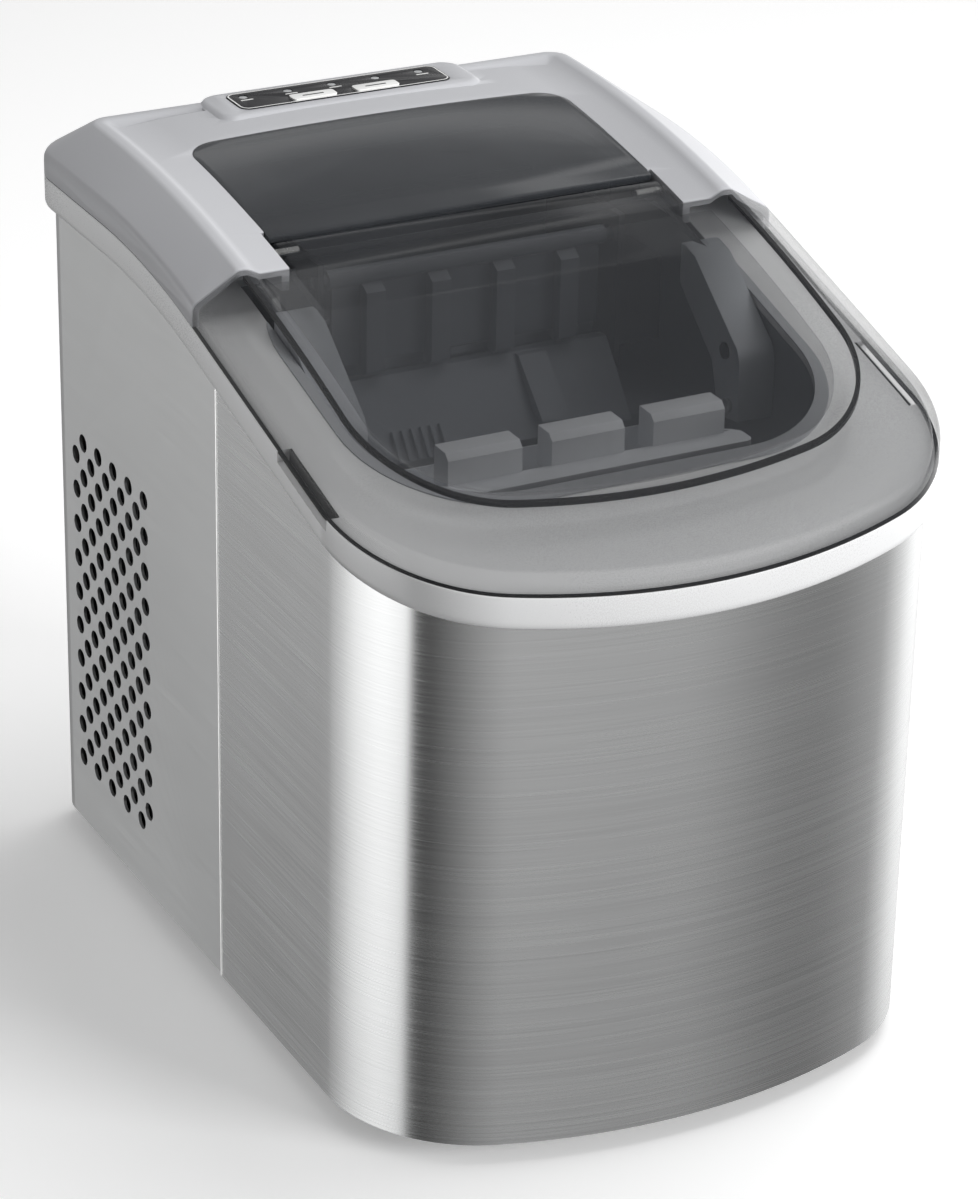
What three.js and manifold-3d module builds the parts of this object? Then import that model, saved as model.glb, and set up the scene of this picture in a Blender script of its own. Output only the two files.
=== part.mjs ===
// Countertop ice maker with a flip-up lid, a lift-out basket and a compressor-cooled tray.
// Millimetres. +X to the right seen from the front, +Y to the back, +Z up.
// The origin is on the floor, under the middle of the body.
import * as THREE from 'three';
import { mergeVertices } from 'three/addons/utils/BufferGeometryUtils.js';
import Module from 'manifold-3d';

const wasm = await Module();
wasm.setup();

// ---------------------------------------------------------------- driving dimensions

const GAP = 0.3; // clearance between pieces that touch

// plan of the side panels: straight sides, a bowed front and rounded corners
const BODY = { halfWidth: 117, front: -164.7, back: 164.6, bow: 234.5, corner: 60.7, rearCorner: 17.5 };
// plan of the raised ridge that runs round the top and the lid
const RIDGE = { halfWidth: 103, front: -131.2, back: 150, bow: 310, corner: 54, rearCorner: 8 };
const LIP_OUT = 4; // the lip and the top stand this far out from the panels
const PANEL = 1.2; // sheet thickness of the wrap and the cover
const PANEL_BOTTOM = 9;

// heights that cutters run to: over the whole appliance, and under the flat part of its top
const ABOVE = 320;
const UNDER_TOP = 280;

// side view of the top: flat at the back, a curve, then a straight slope down to the front
const TOP = { flatFrom: 95, slopeFrom: 12, flatZ: 272, slope: 0.2646, lip: 13, skirt: 8.5 };
const RIDGE_TOP = { z: 306.4, y: 136, bend: 0.00085 };
const DECK_DROP = 2.5; // the area inside the ridge lies this much lower
const SHELL = 2.5; // wall of the top cover and the lid
const CROWN = { height: 3, from: 45, over: 75 }; // the rear of the top rises towards its middle

// the lid's hinge and the parting lines between the lid, the top cover and the fixed window
const HINGE = { y: 27.5, z: 289.9, barrel: 3.8, pin: 1.6 };
const ARM_END = 10; // the top cover's two arms end here
const TONGUE = 80; // half width of the lid's tongue between the arms
const CHEEK = { inner: TONGUE + 2.3, outer: TONGUE + 5.3, back: 44 }; // inner walls of the arms
const WINDOW = { half: 80.5, front: 32.2, back: 110, corner: 12 };

// ice chamber, seen from above, and its heights
const TUB = { half: 95, front: -126, step: 12, back: 88, wall: 2, corner: 34, floor: 40, shelf: 205 };
const OPENING = { front: -106, back: 148, corner: 48 }; // the way in, through the top frame's deck
const LEDGE = { z: 116, x: 60 };
const SENSOR = { face: 77, back: 92.5, eye: [-33, 247], screw: [-38, 227] };

// ice-making mechanism
const TRAY = { y: 56, z: 238, inner: 20, outer: 22, half: 58 };
const HEADER = { y: 48, z: 247, radius: 3.2, reach: 69, exitZ: 262 };
const FINGER = { count: 9, pitch: 11.5, radius: 3.6, bottom: 224 };
const FRAME_PLATE = { x: 62, thick: 2.5 };
const SHOVEL = { y: 30, z: 275, bottom: 236, ribs: 4, ribPitch: 27.3, half: 56.5 };

// basket
const BASKET = { half: 64, front: -68, back: 2, bottom: 116.3, rim: 231, rearRim: 206, wall: 2 };
const BLOCK = { count: 3, pitch: 42, width: 30, height: 12, depth: 11 };

// vents: a staggered field of holes on both sides
const VENT = { columns: 10, rows: 20, pitch: 7.5, firstY: 135.8, firstZ: 181, radius: 3.7 };

// refrigeration and electrics
const COMPRESSOR = { x: 42, y: 80, radius: 45, bottom: 26, top: 146 };
const CONDENSER = { x: -103, half: 8, y0: 62, y1: 142, z0: 36, z1: 184, fins: 10, tubes: [56, 92, 128, 164] };
const FAN = { y: 102, z: 112, x: -90, radius: 36, blades: 5 };
const PUMP = { x: -60, y: 38, bottom: 14, top: 58, radius: 17 };
const BOARD = { x0: -10, x1: 95, y: 156, z0: 174, z1: 256 };

// controls
const FASCIA = { x: -0.5, y: 140, width: 91, depth: 19, thick: 1.6, top: 307.9, corner: 4 };
const POD = { half: 55, front: 126.5, back: 152 }; // raised area round the fascia
const LENS = { count: 5, pitch: 19.1, first: -39.8, y: 144.4, radius: 1.7 };
const BUTTON = { xs: [-14.2, 13], y: 134.6, width: 19, depth: 6, proud: 0.7, bottom: 303.2 };

// feet, drain and power inlet
const FOOT = { radius: 11, places: [[-88, 136], [88, 136], [-62, -112], [62, -112]] };
const DRAIN = { x: -48, y: -84, radius: 6.2 };
const INLET = { x: -78, z: 34 };

// ---------------------------------------------------------------- shape helpers

function solidOf(geometry) {
  const bare = geometry.index ? geometry.toNonIndexed() : geometry.clone();
  bare.deleteAttribute('normal');
  bare.deleteAttribute('uv');
  const merged = mergeVertices(bare, 1e-4);
  const vertProperties = new Float32Array(merged.attributes.position.array);
  const triVerts = new Uint32Array(merged.index.array);
  return new wasm.Manifold(new wasm.Mesh({ numProp: 3, vertProperties, triVerts }));
}

function geometryOf(solid) {
  const mesh = solid.getMesh();
  const geometry = new THREE.BufferGeometry();
  geometry.setAttribute('position', new THREE.BufferAttribute(new Float32Array(mesh.vertProperties), 3));
  geometry.setIndex(new THREE.BufferAttribute(new Uint32Array(mesh.triVerts), 1));
  geometry.computeVertexNormals();
  return geometry;
}

const inOrder = (a, b) => [Math.min(a, b), Math.max(a, b)];

function join(...solids) {
  return solids.reduce((whole, solid) => whole.add(solid));
}

function box(x0, x1, y0, y1, z0, z1) {
  const geometry = new THREE.BoxGeometry(x1 - x0, y1 - y0, z1 - z0);
  geometry.translate((x0 + x1) / 2, (y0 + y1) / 2, (z0 + z1) / 2);
  return solidOf(geometry);
}

// cylinders along each axis; the two place numbers are the other two coordinates in X, Y, Z order
function cylinderX(radius, x0, x1, y, z, sides = 16) {
  const geometry = new THREE.CylinderGeometry(radius, radius, x1 - x0, sides);
  geometry.rotateZ(Math.PI / 2);
  geometry.translate((x0 + x1) / 2, y, z);
  return solidOf(geometry);
}

function cylinderY(radius, y0, y1, x, z, sides = 16) {
  const geometry = new THREE.CylinderGeometry(radius, radius, y1 - y0, sides);
  geometry.translate(x, (y0 + y1) / 2, z);
  return solidOf(geometry);
}

function cylinderZ(radius, z0, z1, x, y, sides = 16) {
  const geometry = new THREE.CylinderGeometry(radius, radius, z1 - z0, sides);
  geometry.rotateX(Math.PI / 2);
  geometry.translate(x, y, (z0 + z1) / 2);
  return solidOf(geometry);
}

// a solid of revolution about a vertical axis; profile points are [radius, z], from axis to axis
function turned(profile, x, y, sides = 24) {
  const geometry = new THREE.LatheGeometry(profile.map(([r, z]) => new THREE.Vector2(r, z)), sides);
  geometry.rotateX(Math.PI / 2);
  geometry.translate(x, y, 0);
  return solidOf(geometry);
}

// a plan outline, as [x, y] points, raised from z0 to z1
function raised(points, z0, z1) {
  const shape = new THREE.Shape(points.map(([x, y]) => new THREE.Vector2(x, y)));
  const geometry = new THREE.ExtrudeGeometry(shape, { depth: z1 - z0, bevelEnabled: false });
  geometry.translate(0, 0, z0);
  return solidOf(geometry);
}

// a side view, as [y, z] points, drawn across from x0 to x1
function across(points, x0, x1) {
  const shape = new THREE.Shape(points.map(([y, z]) => new THREE.Vector2(y, z)));
  const geometry = new THREE.ExtrudeGeometry(shape, { depth: x1 - x0, bevelEnabled: false });
  const turn = new THREE.Matrix4().makeBasis(
    new THREE.Vector3(0, 1, 0),
    new THREE.Vector3(0, 0, 1),
    new THREE.Vector3(1, 0, 0),
  );
  geometry.applyMatrix4(turn);
  geometry.translate(x0, 0, 0);
  return solidOf(geometry);
}

function roundedRectangle(x0, x1, y0, y1, radius, steps = 4) {
  const corners = [[x1 - radius, y0 + radius, -90], [x1 - radius, y1 - radius, 0],
    [x0 + radius, y1 - radius, 90], [x0 + radius, y0 + radius, 180]];
  return corners.flatMap(([cx, cy, start]) => arc(cx, cy, radius, start, start + 90, steps));
}

function arc(cx, cy, radius, fromDegrees, toDegrees, steps) {
  const points = [];
  for (let i = 0; i <= steps; i += 1) {
    const angle = THREE.MathUtils.degToRad(fromDegrees + ((toDegrees - fromDegrees) * i) / steps);
    points.push([cx + radius * Math.cos(angle), cy + radius * Math.sin(angle)]);
  }
  return points;
}

// a bent tube: straight runs between the points, with a curve of the given size at each corner
function tube(points, radius, bend, steps, sides = 6) {
  const corners = points.map((p) => new THREE.Vector3(...p));
  const path = new THREE.CurvePath();
  let start = corners[0];
  for (let i = 1; i < corners.length - 1; i += 1) {
    const corner = corners[i];
    const before = corner.clone().add(corners[i - 1].clone().sub(corner).setLength(bend));
    const after = corner.clone().add(corners[i + 1].clone().sub(corner).setLength(bend));
    path.add(new THREE.LineCurve3(start, before));
    path.add(new THREE.QuadraticBezierCurve3(before, corner, after));
    start = after;
  }
  path.add(new THREE.LineCurve3(start, corners[corners.length - 1]));
  const section = new THREE.Shape(arc(0, 0, radius, 0, 360 - 360 / sides, sides - 1)
    .map(([x, y]) => new THREE.Vector2(x, y)));
  return solidOf(new THREE.ExtrudeGeometry(section, { steps, extrudePath: path }));
}

// ---------------------------------------------------------------- the body's outlines and heights

const SPAN = { bow: 4, corner: 6, side: 10, rearCorner: 3, back: 2 };

// right half of an outline, from the middle of the front to the middle of the back
function halfOutline(plan, offset) {
  const bowCentre = plan.front + plan.bow;
  const cornerX = plan.halfWidth - plan.corner;
  const cornerY = bowCentre - Math.sqrt((plan.bow - plan.corner) ** 2 - cornerX ** 2);
  const meet = THREE.MathUtils.radToDeg(Math.atan2(cornerY - bowCentre, cornerX));
  const half = plan.halfWidth + offset;
  const back = plan.back + offset;
  const rear = Math.max(plan.rearCorner + offset, 1);
  const points = arc(0, bowCentre, plan.bow + offset, -90, meet, SPAN.bow);
  points.push(...arc(cornerX, cornerY, plan.corner + offset, meet, 0, SPAN.corner).slice(1));
  for (let i = 1; i < SPAN.side; i += 1) {
    points.push([half, cornerY + ((back - rear - cornerY) * i) / SPAN.side]);
  }
  points.push(...arc(half - rear, back - rear, rear, 0, 90, SPAN.rearCorner));
  for (let i = 1; i <= SPAN.back; i += 1) {
    points.push([((half - rear) * (SPAN.back - i)) / SPAN.back, back]);
  }
  return points;
}

function fullOutline(plan, offset) {
  const right = halfOutline(plan, offset);
  const left = right.slice(1, -1).reverse().map(([x, y]) => [-x, y]);
  return [...right, ...left];
}

function lipUnder(y) {
  if (y >= TOP.flatFrom) return TOP.flatZ;
  const run = TOP.flatFrom - TOP.slopeFrom;
  const bend = TOP.slope / (2 * run);
  if (y > TOP.slopeFrom) return TOP.flatZ - bend * (TOP.flatFrom - y) ** 2;
  return TOP.flatZ - bend * run ** 2 - TOP.slope * (TOP.slopeFrom - y);
}

const lipTop = (y) => lipUnder(y) + TOP.lip;
const skirtTop = (y) => lipTop(y) + TOP.skirt;
const ridgeTop = (y) => RIDGE_TOP.z - RIDGE_TOP.bend * (RIDGE_TOP.y - y) ** 2;

function crown(x, y) {
  const rise = THREE.MathUtils.clamp((y - CROWN.from) / CROWN.over, 0, 1);
  return CROWN.height * rise * (1 - (x / RIDGE.halfWidth) ** 2);
}

// everything below a height profile, between two distances from the front
function below(profile, y0, y1, floorZ, halfWidth = 130) {
  const steps = 14;
  const points = [[y0, floorZ], [y1, floorZ]];
  for (let i = 0; i <= steps; i += 1) {
    const y = y1 + ((y0 - y1) * i) / steps;
    points.push([y, profile(y)]);
  }
  return across(points, -halfWidth, halfWidth);
}

function band(plan, offset, inset, z0, z1) {
  const inside = raised(fullOutline(plan, offset - inset), z0 - 1, z1 + 1);
  return raised(fullOutline(plan, offset), z0, z1).subtract(inside);
}

// a closed skin over matching rings, lowest first, with the top ring bridged from side to side
function lofted(rings) {
  const count = rings[0].length;
  const half = count / 2;
  const columns = 6;
  const positions = [];
  const triangle = (a, b, c) => positions.push(...a, ...b, ...c);
  const quad = (a, b, c, d) => {
    triangle(a, b, c);
    triangle(a, c, d);
  };
  for (let k = 0; k + 1 < rings.length; k += 1) {
    for (let i = 0; i < count; i += 1) {
      const j = (i + 1) % count;
      quad(rings[k][i], rings[k][j], rings[k + 1][j], rings[k + 1][i]);
    }
  }
  bridge(rings[0], false);
  bridge(rings[rings.length - 1], true);
  const geometry = new THREE.BufferGeometry();
  geometry.setAttribute('position', new THREE.Float32BufferAttribute(positions, 3));
  return solidOf(geometry);

  // rungs across a ring from each left point to its mirror point; only the upper ones are crowned
  function bridge(ring, upper) {
    const face = (a, b, c) => (upper ? triangle(a, b, c) : triangle(a, c, b));
    const rungs = Array.from({ length: half + 1 }, (_, i) => {
      const [x, y, z] = ring[i];
      return Array.from({ length: columns + 1 }, (__, c) => {
        const px = -x + (2 * x * c) / columns;
        const lifted = upper && i > 0 && i < half && c > 0 && c < columns;
        return [px, y, z + (lifted ? crown(px, y) : 0)];
      });
    });
    for (let i = 0; i < half; i += 1) {
      const [near, far] = [rungs[i], rungs[i + 1]];
      for (let c = 0; c < columns; c += 1) {
        if (i > 0) face(near[c], near[c + 1], far[c + 1]);
        if (i + 1 < half) face(near[c], far[c + 1], far[c]);
      }
    }
  }
}

// the whole top as one solid: skirt, chamfer, ridge and the lower area inside it
function topSolid(inset, bottomDrop) {
  const ring = (plan, offset, height) => fullOutline(plan, offset).map(([x, y]) => [x, y, height(y)]);
  const outer = LIP_OUT - inset;
  return lofted([
    ring(BODY, outer, (y) => lipTop(y) + GAP - bottomDrop),
    ring(BODY, outer, (y) => skirtTop(y) - inset * 0.8),
    ring(RIDGE, -inset * 0.4, (y) => ridgeTop(y) - inset),
    ring(RIDGE, -4, (y) => ridgeTop(y) - inset),
    ring(RIDGE, -9, (y) => ridgeTop(y) - DECK_DROP - inset),
  ]);
}

// ---------------------------------------------------------------- assembly

const iceMaker = new THREE.Group();

function finish(colour, roughness, metalness = 0, opacity = 1) {
  return { color: colour, roughness, metalness, opacity, transparent: opacity < 1 };
}

const FINISH = {
  steel: finish(0xb9babb, 0.32, 1),
  satinSteel: finish(0xa9abad, 0.42, 0.9),
  silver: finish(0xb3b5b8, 0.4, 0.3),
  lip: finish(0xdcdedf, 0.38, 0.15),
  smoke: finish(0x6d7276, 0.08, 0, 0.4),
  grey: finish(0x8e9296, 0.5),
  black: finish(0x17181a, 0.35),
  darkPlastic: finish(0x2b2d30, 0.6),
  rubber: finish(0x222222, 0.85),
  copper: finish(0xb87346, 0.3, 1),
  blackMetal: finish(0x1c1d1f, 0.5, 0.5),
  zinc: finish(0xc6c9cc, 0.35, 1),
  aluminium: finish(0xc3c6c8, 0.4, 1),
  foam: finish(0xeae6d8, 0.95),
  board: finish(0x1f5a36, 0.6),
  white: finish(0xf2f2f0, 0.35),
  hose: finish(0xd9dde0, 0.4, 0, 0.7),
};

function place(name, solid, look, position = [0, 0, 0]) {
  const mesh = new THREE.Mesh(geometryOf(solid), new THREE.MeshStandardMaterial(look));
  mesh.name = name;
  mesh.position.set(...position);
  iceMaker.add(mesh);
}

// ---------------------------------------------------------------- casing

function baseTray() {
  const floor = raised(fullOutline(BODY, -PANEL - 0.6), PANEL_BOTTOM + 0.3, PANEL_BOTTOM + 3);
  const rim = band(BODY, -PANEL - 0.6, 2, PANEL_BOTTOM + 2, PANEL_BOTTOM + 12);
  let tray = floor.add(rim).subtract(cylinderZ(12, 0, 20, DRAIN.x, DRAIN.y, 20));
  for (const [x, y] of FOOT.places) tray = tray.subtract(cylinderZ(2.6, 0, 20, x, y, 8));
  return tray;
}

function panelShell(bottom) {
  return band(BODY, 0, PANEL, bottom, ABOVE).intersect(
    below((y) => lipUnder(y) - GAP, -170, 170, 0),
  );
}

function ventHoles() {
  let holes = null;
  for (let column = 0; column < VENT.columns; column += 1) {
    for (let row = 1 - (column % 2); row < VENT.rows; row += 2) {
      const y = VENT.firstY - VENT.pitch * column;
      const z = VENT.firstZ - VENT.pitch * row;
      for (const side of [-1, 1]) {
        const hole = cylinderX(VENT.radius, side * 117 - 4, side * 117 + 4, y, z, 6);
        holes = holes ? holes.add(hole) : hole;
      }
    }
  }
  return holes;
}

function rearCover() {
  return panelShell(PANEL_BOTTOM)
    .subtract(box(-130, 130, -200, GAP / 2, 0, ABOVE))
    .subtract(ventHoles())
    .subtract(cylinderY(8.2, 150, 180, INLET.x, INLET.z, 16));
}

function frontWrap() {
  return panelShell(PANEL_BOTTOM - 1).subtract(box(-130, 130, -GAP / 2, 200, 0, ABOVE));
}

// the lip round the top of the panels, with a deck that reaches in to the ice chamber
function topFrame() {
  const deck = 3;
  const block = raised(fullOutline(BODY, LIP_OUT), 190, ABOVE)
    .intersect(below(lipTop, -180, 180, 100))
    .subtract(below(lipUnder, -180, 180, 90));
  const underside = raised(fullOutline(BODY, -PANEL - GAP), 180, ABOVE)
    .intersect(below((y) => lipTop(y) - deck, -180, 180, 90));
  const openingHalf = TUB.half - TUB.wall;
  const outline = roundedRectangle(-openingHalf, openingHalf, OPENING.front, OPENING.back, OPENING.corner);
  const opening = raised(outline, 180, ABOVE);
  const notchSlope = below((y) => lipTop(y) + 20, -101, -62, 100)
    .subtract(below((y) => lipTop(y) - 4.5, -101, -62, 90, 131));
  const notch = notchSlope.subtract(box(-115.5, 115.5, -120, 0, 100, ABOVE));
  return block.subtract(underside).subtract(opening).subtract(notch);
}

const shell = topSolid(0, 0).subtract(topSolid(SHELL, 4));

function rearBezel() {
  const pod = raised(roundedRectangle(-POD.half, POD.half, POD.front, POD.back, 6), 302, FASCIA.top - 0.3);
  const podInside = roundedRectangle(-POD.half + 3, POD.half - 3, POD.front + 3, POD.back - 3, 5);
  const podHollow = raised(podInside, 290, 304.6);
  const recess = raised(
    roundedRectangle(
      FASCIA.x - FASCIA.width / 2 - GAP, FASCIA.x + FASCIA.width / 2 + GAP,
      FASCIA.y - FASCIA.depth / 2 - GAP, FASCIA.y + FASCIA.depth / 2 + GAP, FASCIA.corner,
    ),
    FASCIA.top - FASCIA.thick - GAP, ABOVE,
  );
  const shaft = box(-43, 42, 130.8, 148.6, UNDER_TOP, ABOVE);
  const windowHole = raised(windowOutline(GAP), UNDER_TOP, ABOVE);
  const lidTongue = box(-CHEEK.inner, CHEEK.inner, -200, WINDOW.front + 4, 270, ABOVE);
  const ahead = box(-130, 130, -200, ARM_END + 0.8, 200, ABOVE);
  return shell.add(pod).subtract(podHollow).subtract(recess).subtract(shaft)
    .subtract(windowHole).subtract(lidTongue).subtract(ahead)
    .add(cheek(-1)).add(cheek(1))
    .subtract(cylinderX(HINGE.pin + 0.3, -90, 90, HINGE.y, HINGE.z, 12));
}

// the inner wall of an arm, which carries the hinge pin
function cheek(side) {
  const [x0, x1] = inOrder(side * CHEEK.inner, side * CHEEK.outer);
  return below((y) => ridgeTop(y) - DECK_DROP - 1, ARM_END + 0.8, CHEEK.back, 282)
    .intersect(box(x0, x1, 0, 60, 270, ABOVE));
}

function windowOutline(grow) {
  const { half, front, back, corner } = WINDOW;
  return [
    [-half - grow, front - grow],
    [half + grow, front - grow],
    ...arc(half - corner, back - corner, corner + grow, 0, 90, 4),
    ...arc(-half + corner, back - corner, corner + grow, 90, 180, 4),
  ];
}

// clear pane flush with the top, on a wider flange below it
function upperWindow() {
  const pane = shell.intersect(raised(windowOutline(0), UNDER_TOP, ABOVE));
  const flange = topSolid(SHELL + GAP, 0).subtract(topSolid(SHELL + GAP + 2, 4))
    .intersect(raised(windowOutline(4), UNDER_TOP, ABOVE))
    .subtract(box(-100, 100, 0, WINDOW.front, 270, ABOVE))
    .subtract(box(-100, -CHEEK.inner + 0.4, 0, CHEEK.back + 0.4, 270, ABOVE))
    .subtract(box(CHEEK.inner - 0.4, 100, 0, CHEEK.back + 0.4, 270, ABOVE));
  const web = topSolid(1, 0).subtract(topSolid(SHELL + 1.5, 4))
    .intersect(raised(windowOutline(-1), UNDER_TOP, ABOVE));
  return join(pane, flange, web);
}

function hingePin(side) {
  const [x0, x1] = inOrder(side * (TONGUE - 9), side * (TONGUE + 7));
  return cylinderX(HINGE.pin, x0, x1, HINGE.y, HINGE.z, 12);
}

function lid() {
  const arms = shell.subtract(box(-130, 130, ARM_END, 200, 200, 330));
  const tongue = shell.intersect(box(-TONGUE, TONGUE, ARM_END - 5, HINGE.y, 270, 330));
  const barrel = cylinderX(HINGE.barrel, -TONGUE, TONGUE, HINGE.y, HINGE.z, 16);
  const ribs = join(...[-1, 1].map((side) => {
    const x0 = Math.min(side * TONGUE, side * (TONGUE - 2));
    return across([
      [-18, ridgeTop(-18) - DECK_DROP - 1],
      [-4, ridgeTop(-4) - 9],
      [HINGE.y, HINGE.z - 2],
      [HINGE.y, ridgeTop(HINGE.y) - DECK_DROP - 1],
      [5, ridgeTop(5) - DECK_DROP - 1],
    ], x0, x0 + 2);
  }));
  const bores = join(...[-1, 1].map((side) => {
    const x0 = Math.min(side * (TONGUE - 10), side * (TONGUE + 1));
    return cylinderX(HINGE.pin + 0.3, x0, x0 + 11, HINGE.y, HINGE.z, 12);
  }));
  return join(arms, tongue, barrel, ribs).subtract(bores);
}

// ---------------------------------------------------------------- controls

function fascia() {
  const { x, y, width, depth, thick, top, corner } = FASCIA;
  let plate = raised(
    roundedRectangle(x - width / 2, x + width / 2, y - depth / 2, y + depth / 2, corner), top - thick, top,
  );
  for (const [lensX] of lensPlaces()) {
    plate = plate.subtract(cylinderZ(LENS.radius + GAP, top - 5, top + 5, lensX, LENS.y, 10));
  }
  for (const bx of BUTTON.xs) {
    const w = BUTTON.width / 2 + GAP;
    const d = BUTTON.depth / 2 + GAP;
    const hole = roundedRectangle(bx - w, bx + w, BUTTON.y - d, BUTTON.y + d, 1.8, 2);
    plate = plate.subtract(raised(hole, UNDER_TOP, ABOVE));
  }
  return plate;
}

function lensPlaces() {
  return Array.from({ length: LENS.count }, (_, i) => [LENS.first + LENS.pitch * i, LENS.y]);
}

function lightGuide() {
  const bar = box(-42, 39, 142.4, 146.4, 301.6, 304.4);
  return lensPlaces().reduce(
    (guide, [x, y]) => guide.add(cylinderZ(LENS.radius, 303, FASCIA.top - 0.2, x, y, 10)), bar,
  );
}

function button() {
  const w = BUTTON.width / 2;
  const d = BUTTON.depth / 2;
  const cap = raised(roundedRectangle(-w, w, -d, d, 1.5, 2), BUTTON.bottom + 1.2, FASCIA.top + BUTTON.proud);
  const stem = box(-2, 2, -2, 2, BUTTON.bottom, BUTTON.bottom + 2);
  return cap.add(stem);
}

function displayBoard() {
  const plate = box(-50, 49, 129, 152, 294.6, 296.2);
  const switches = BUTTON.xs.map((x) => box(x - 3, x + 3, BUTTON.y - 3, BUTTON.y + 3, 296, 300.6));
  const lamps = lensPlaces().map(([x, y]) => box(x - 1.5, x + 1.5, y - 1.5, y + 1.5, 296, 299));
  return join(plate, ...switches, ...lamps);
}

function mainBoard() {
  const { x0, x1, y, z0, z1 } = BOARD;
  const plate = box(x0, x1, y - 1.6, y, z0, z1);
  const relay = box(x0 + 8, x0 + 26, y - 15, y - 1, z0 + 8, z0 + 24);
  const transformer = box(x0 + 36, x0 + 64, y - 24, y - 1, z0 + 8, z0 + 38);
  const capacitor = cylinderY(7, y - 22, y - 1, x0 + 82, z0 + 20, 12);
  const plugRow = box(x0 + 12, x0 + 80, y - 9, y - 1, z1 - 16, z1 - 8);
  return join(plate, relay, transformer, capacitor, plugRow);
}

// ---------------------------------------------------------------- ice chamber

function tubOutline(offset, front, back) {
  const { half, corner } = TUB;
  return [
    ...arc(half - corner, front + corner, corner + offset, -90, 0, 5),
    [half + offset, back + offset],
    [-half - offset, back + offset],
    ...arc(-half + corner, front + corner, corner + offset, 180, 270, 5),
  ];
}

function tubBlock(offset, floorDrop) {
  const deep = raised(tubOutline(offset, TUB.front, TUB.step), TUB.floor - floorDrop, ABOVE);
  const shallow = box(
    -TUB.half - offset, TUB.half + offset, 0, TUB.back + offset, TUB.shelf - floorDrop, ABOVE,
  );
  return deep.add(shallow);
}

function innerLiner() {
  const rimDrop = 3 + GAP;
  const outer = tubBlock(0, 0).intersect(below((y) => lipTop(y) - rimDrop, -180, 180, 20));
  const hollow = tubBlock(-TUB.wall, -TUB.wall);
  const { z, x } = LEDGE;
  const ledges = [-1, 1].map((side) => {
    const x0 = Math.min(side * x, side * (TUB.half - 1));
    return box(x0, x0 + TUB.half - 1 - x, -82, TUB.step - 1, z - 4, z);
  });
  const spout = cylinderZ(DRAIN.radius, 14.5, TUB.floor + 1, DRAIN.x, DRAIN.y, 16);
  const spoutBore = cylinderZ(DRAIN.radius - 2, 10, TUB.floor + 10, DRAIN.x, DRAIN.y, 16);
  const pumpHole = cylinderY(4.6, 5, 20, PUMP.x, 48, 12);
  const hoseHole = cylinderX(4.2, -100, -90, 62, 268, 12);
  const pipeHoles = [-HEADER.reach, HEADER.reach]
    .map((x1) => cylinderY(4.2, TUB.back - 5, TUB.back + 5, x1, HEADER.exitZ, 8));
  return join(outer.subtract(hollow), ...ledges, spout).subtract(spoutBore)
    .subtract(pumpHole).subtract(hoseHole).subtract(join(...pipeHoles));
}

function foamJacket() {
  const block = raised(fullOutline(BODY, -PANEL - 3), 24, TUB.shelf)
    .subtract(box(-130, 130, TUB.step, 200, 0, ABOVE));
  return block.subtract(tubBlock(0.5, 0.5))
    .subtract(cylinderZ(DRAIN.radius + 1, 0, 60, DRAIN.x, DRAIN.y, 16));
}

// one sensor arm on the side wall: a slanted front edge over an upright nose
function sensorHousing(side) {
  const { face, back, eye, screw } = SENSOR;
  const profile = [
    [2, 262], [2, 278], [-6, 278], [-41.6, 250.8], [-44, 246], [-44, 222], [-30, 220], [-24, 240],
  ];
  const body = across(profile, ...inOrder(side * face, side * back))
    .intersect(below((y) => skirtTop(y) - 1, -100, 60, 100));
  return body.subtract(cylinderX(3.5, ...inOrder(side * (face - 1), side * (face + 2)), ...eye, 12))
    .subtract(cylinderX(1.8, ...inOrder(side * (face - 1), side * (face + 5)), ...screw, 8));
}

function sensorScrew(side) {
  const { face, screw } = SENSOR;
  return cylinderX(2.8, ...inOrder(side * (face - 1.6), side * (face - 0.2)), ...screw, 10)
    .add(cylinderX(1.4, ...inOrder(side * (face - 0.3), side * (face + 3.5)), ...screw, 8));
}

function sensorEye(side) {
  const { face, eye } = SENSOR;
  return cylinderX(3.1, ...inOrder(side * (face - 0.6), side * (face + 1.6)), ...eye, 12);
}

function levelSensor() {
  const body = box(24, 44, 2, TUB.step - TUB.wall - GAP, 84, 100);
  return body.add(cylinderZ(1.5, 62, 85, 29, 6, 8)).add(cylinderZ(1.5, 62, 85, 39, 6, 8));
}

// sloped plate that leads the ice from the tray into the basket
function iceChute() {
  const floor = TUB.shelf + TUB.wall + GAP;
  const slide = across([
    [5, floor], [8, floor], [29, 231], [29, floor], [32, floor], [32, 234], [27, 234],
  ], -60, 60);
  const tab = across([[3, 214], [11, 214.5], [28, 233.6], [24, 233.6]], 20, 32);
  return slide.add(tab);
}

// ---------------------------------------------------------------- ice-making mechanism

function mechanismFrame() {
  const { x, thick } = FRAME_PLATE;
  const floor = TUB.shelf + TUB.wall + GAP;
  const profile = [[24, 222], [34, floor], [82, floor], [82, 284], [24, 284]];
  const plates = [-1, 1].map((side) => {
    const x0 = Math.min(side * x, side * (x + thick));
    return across(profile, x0, x0 + thick)
      .subtract(cylinderX(3.4, x0 - 1, x0 + 4, TRAY.y, TRAY.z, 12))
      .subtract(cylinderX(3.8, x0 - 1, x0 + 4, HEADER.y, HEADER.z, 12))
      .subtract(cylinderX(2.6, x0 - 1, x0 + 4, SHOVEL.y, SHOVEL.z, 12));
  });
  const bar = box(-x - 1, x + 1, 76, 82, 276, 284);
  const rail = box(-x - 1, x + 1, 79.5, 82, floor, floor + 5);
  return join(...plates, bar, rail);
}

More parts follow.
